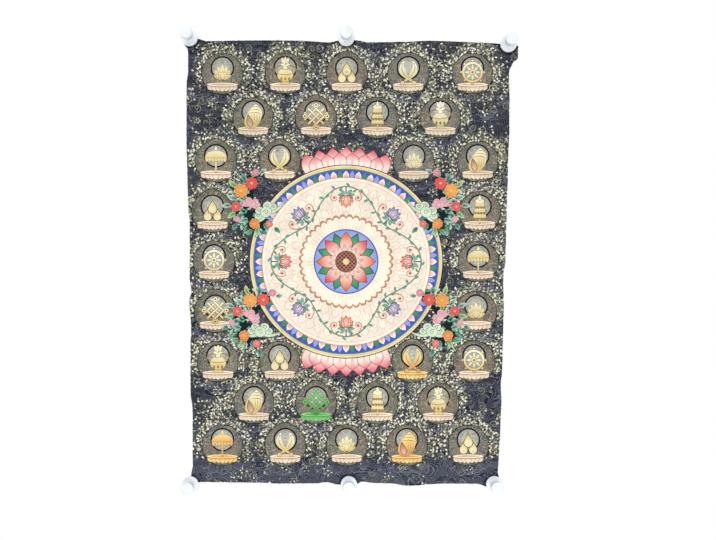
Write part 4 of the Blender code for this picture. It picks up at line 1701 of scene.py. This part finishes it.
def spool_profile():
    """Radius and height from the middle of the foot to the middle of the crown."""
    head_base = MAGNET_HEIGHT - HEAD_HEIGHT
    half_chord = (head_base - FOOT_HEIGHT) / 2.0
    waist = (half_chord**2 + WAIST_HOLLOW**2) / (2.0 * WAIST_HOLLOW)
    half_turn = math.degrees(math.asin(half_chord / waist))
    middle = (FOOT_HEIGHT + head_base) / 2.0
    top_radius = HEAD_RADIUS - HEAD_OUTER_ROUND
    arcs = (
        Arc(FOOT_RADIUS - FOOT_BACK_ROUND, FOOT_BACK_ROUND, FOOT_BACK_ROUND, -90, 0),
        Arc(FOOT_RADIUS - FOOT_FRONT_ROUND, FOOT_HEIGHT - FOOT_FRONT_ROUND, FOOT_FRONT_ROUND, 0, 90),
        Arc(WAIST_RADIUS + waist, middle, waist, 180 + half_turn, 180 - half_turn),
        Arc(HEAD_RADIUS - HEAD_INNER_ROUND, head_base + HEAD_INNER_ROUND, HEAD_INNER_ROUND, -90, 0),
        Arc(top_radius, MAGNET_HEIGHT - HEAD_OUTER_ROUND, HEAD_OUTER_ROUND, 0, 90),
    )
    points = []
    for arc in arcs:
        for step in range(ARC_STEPS + 1):
            turn = math.radians(between((arc.start_deg, arc.end_deg), step / ARC_STEPS))
            out, up = around(arc.round_by, turn)
            points.append((arc.radius_at + out, arc.height_at + up))
    for step in range(1, CROWN_STEPS):
        share = 1 - step / CROWN_STEPS
        points.append((top_radius * share, MAGNET_HEIGHT + HEAD_CROWN * (1 - share**2)))
    return points


def spool_mesh(magnet):
    """The spool turned about the line through its seat, which points out of the wall."""
    profile = spool_profile()
    seat = FRONT_Y - SEAT_GAP
    places = [(magnet.x, seat, magnet.z)]
    for radius, height in profile:
        for turn in turns_round(MAGNET_SIDES):
            across, up = around(radius, turn)
            places.append((magnet.x + across, seat - height, magnet.z + up))
    places.append((magnet.x, seat - MAGNET_HEIGHT - HEAD_CROWN, magnet.z))
    faces = []
    for side in range(MAGNET_SIDES):
        after = (side + 1) % MAGNET_SIDES
        faces.append((0, 1 + side, 1 + after))
        for ring in range(len(profile) - 1):
            low, high = 1 + ring * MAGNET_SIDES, 1 + (ring + 1) * MAGNET_SIDES
            faces.append((low + after, low + side, high + side, high + after))
        top = 1 + (len(profile) - 1) * MAGNET_SIDES
        faces.append((len(places) - 1, top + after, top + side))
    mesh = bpy.data.meshes.new("spool_" + magnet.node)
    mesh.from_pydata([tuple(value * MM for value in place) for place in places], [], faces)
    mesh.shade_smooth()
    mesh.set_sharp_from_angle(angle=math.radians(50.0))
    return mesh


def white_plastic():
    """Smooth moulded plastic, satin, with faint mould waves, handling marks and patches of dust."""
    made, tree, shader, place = new_finish("white_plastic")
    cloudy = noise(tree, place, 90.0)
    smudges = noise(tree, place, 260.0, 4.0, 0.65)
    clean, dusty = (0.74, 0.785, 0.83), (0.66, 0.69, 0.73)
    socket(shader, "Base Color", mixed(tree, ranged(tree, cloudy, 0.45, 0.7, 0.0, 1.0), clean, dusty))
    socket(shader, "Roughness", ranged(tree, smudges, 0.35, 0.7, 0.24, 0.42))
    add_bump(tree, shader, cloudy, 0.12, 0.0006)
    shader.inputs["IOR"].default_value = 1.5
    shader.inputs["Subsurface Weight"].default_value = 0.15
    shader.inputs["Subsurface Radius"].default_value = (0.004, 0.004, 0.004)
    return made


plastic = white_plastic()
for magnet in MAGNETS:
    spool = add_piece("spool_" + magnet.node, spool_mesh(magnet), plastic)
    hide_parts(magnet.node)
    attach(spool, "root")


# The camera, floor and light. The camera looks straight at the wall from about a metre away, from
# below the middle of the sheet. A white sky gives soft even light, with a broad lamp above the sheet
# and a softer one below it.
PHOTO_WIDTH = 716.0
FOCAL_PIXELS = 680.0
CAMERA_DISTANCE = 0.975
FOOT_PIXEL = (346.0, 300.7)
IMAGE_CENTRE = (358.0, 270.0)
FOOT_PLACE = (-0.0021, -0.370)
SENSOR_WIDTH = 36.0
FLOOR_REACH = 4.0
FLOOR_Z = -2.5

camera_data = bpy.data.cameras.new("camera")
camera_data.sensor_width = SENSOR_WIDTH
camera_data.lens = FOCAL_PIXELS / PHOTO_WIDTH * SENSOR_WIDTH
camera_data.shift_x = (IMAGE_CENTRE[0] - FOOT_PIXEL[0]) / PHOTO_WIDTH
camera_data.shift_y = (FOOT_PIXEL[1] - IMAGE_CENTRE[1]) / PHOTO_WIDTH
camera = bpy.data.objects.new("camera", camera_data)
camera.location = (FOOT_PLACE[0], -CAMERA_DISTANCE, FOOT_PLACE[1])
camera.rotation_euler = (math.radians(90.0), 0.0, 0.0)
bpy.context.scene.collection.objects.link(camera)
bpy.context.scene.camera = camera

world = bpy.data.worlds.new("white_sky")
world.use_nodes = True
sky = world.node_tree.nodes["Background"]
sky.inputs["Color"].default_value = (1.0, 1.0, 1.0, 1.0)
sky.inputs["Strength"].default_value = 1.0
bpy.context.scene.world = world
bpy.context.scene.view_settings.view_transform = "Standard"

Lamp = namedtuple("Lamp", "name place aim watts width")
LAMPS = (
    Lamp("lamp_above", (-0.5, -1.4, 1.3), (0.0, 0.0, -0.3), 8.0, 0.5),
    Lamp("lamp_below", (0.3, -1.2, -1.5), (0.0, 0.0, -0.5), 9.0, 0.8),
)
for lamp in LAMPS:
    light_data = bpy.data.lights.new(lamp.name, "AREA")
    light_data.energy = lamp.watts
    light_data.size = lamp.width
    light = bpy.data.objects.new(lamp.name, light_data)
    light.location = lamp.place
    light.rotation_euler = (Vector(lamp.aim) - light.location).to_track_quat("-Z", "Y").to_euler()
    bpy.context.scene.collection.objects.link(light)

floor_mesh = bpy.data.meshes.new("floor")
corners = ((-1, -1), (1, -1), (1, 1), (-1, 1))
corners = [(x * FLOOR_REACH, y * FLOOR_REACH, FLOOR_Z) for x, y in corners]
floor_mesh.from_pydata(corners, [], [(0, 1, 2, 3)])
floor_paint, _, floor_shader, _ = new_finish("pale_floor")
floor_shader.inputs["Base Color"].default_value = (0.86, 0.86, 0.86, 1.0)
floor_shader.inputs["Roughness"].default_value = 0.8
add_piece("floor", floor_mesh, floor_paint)
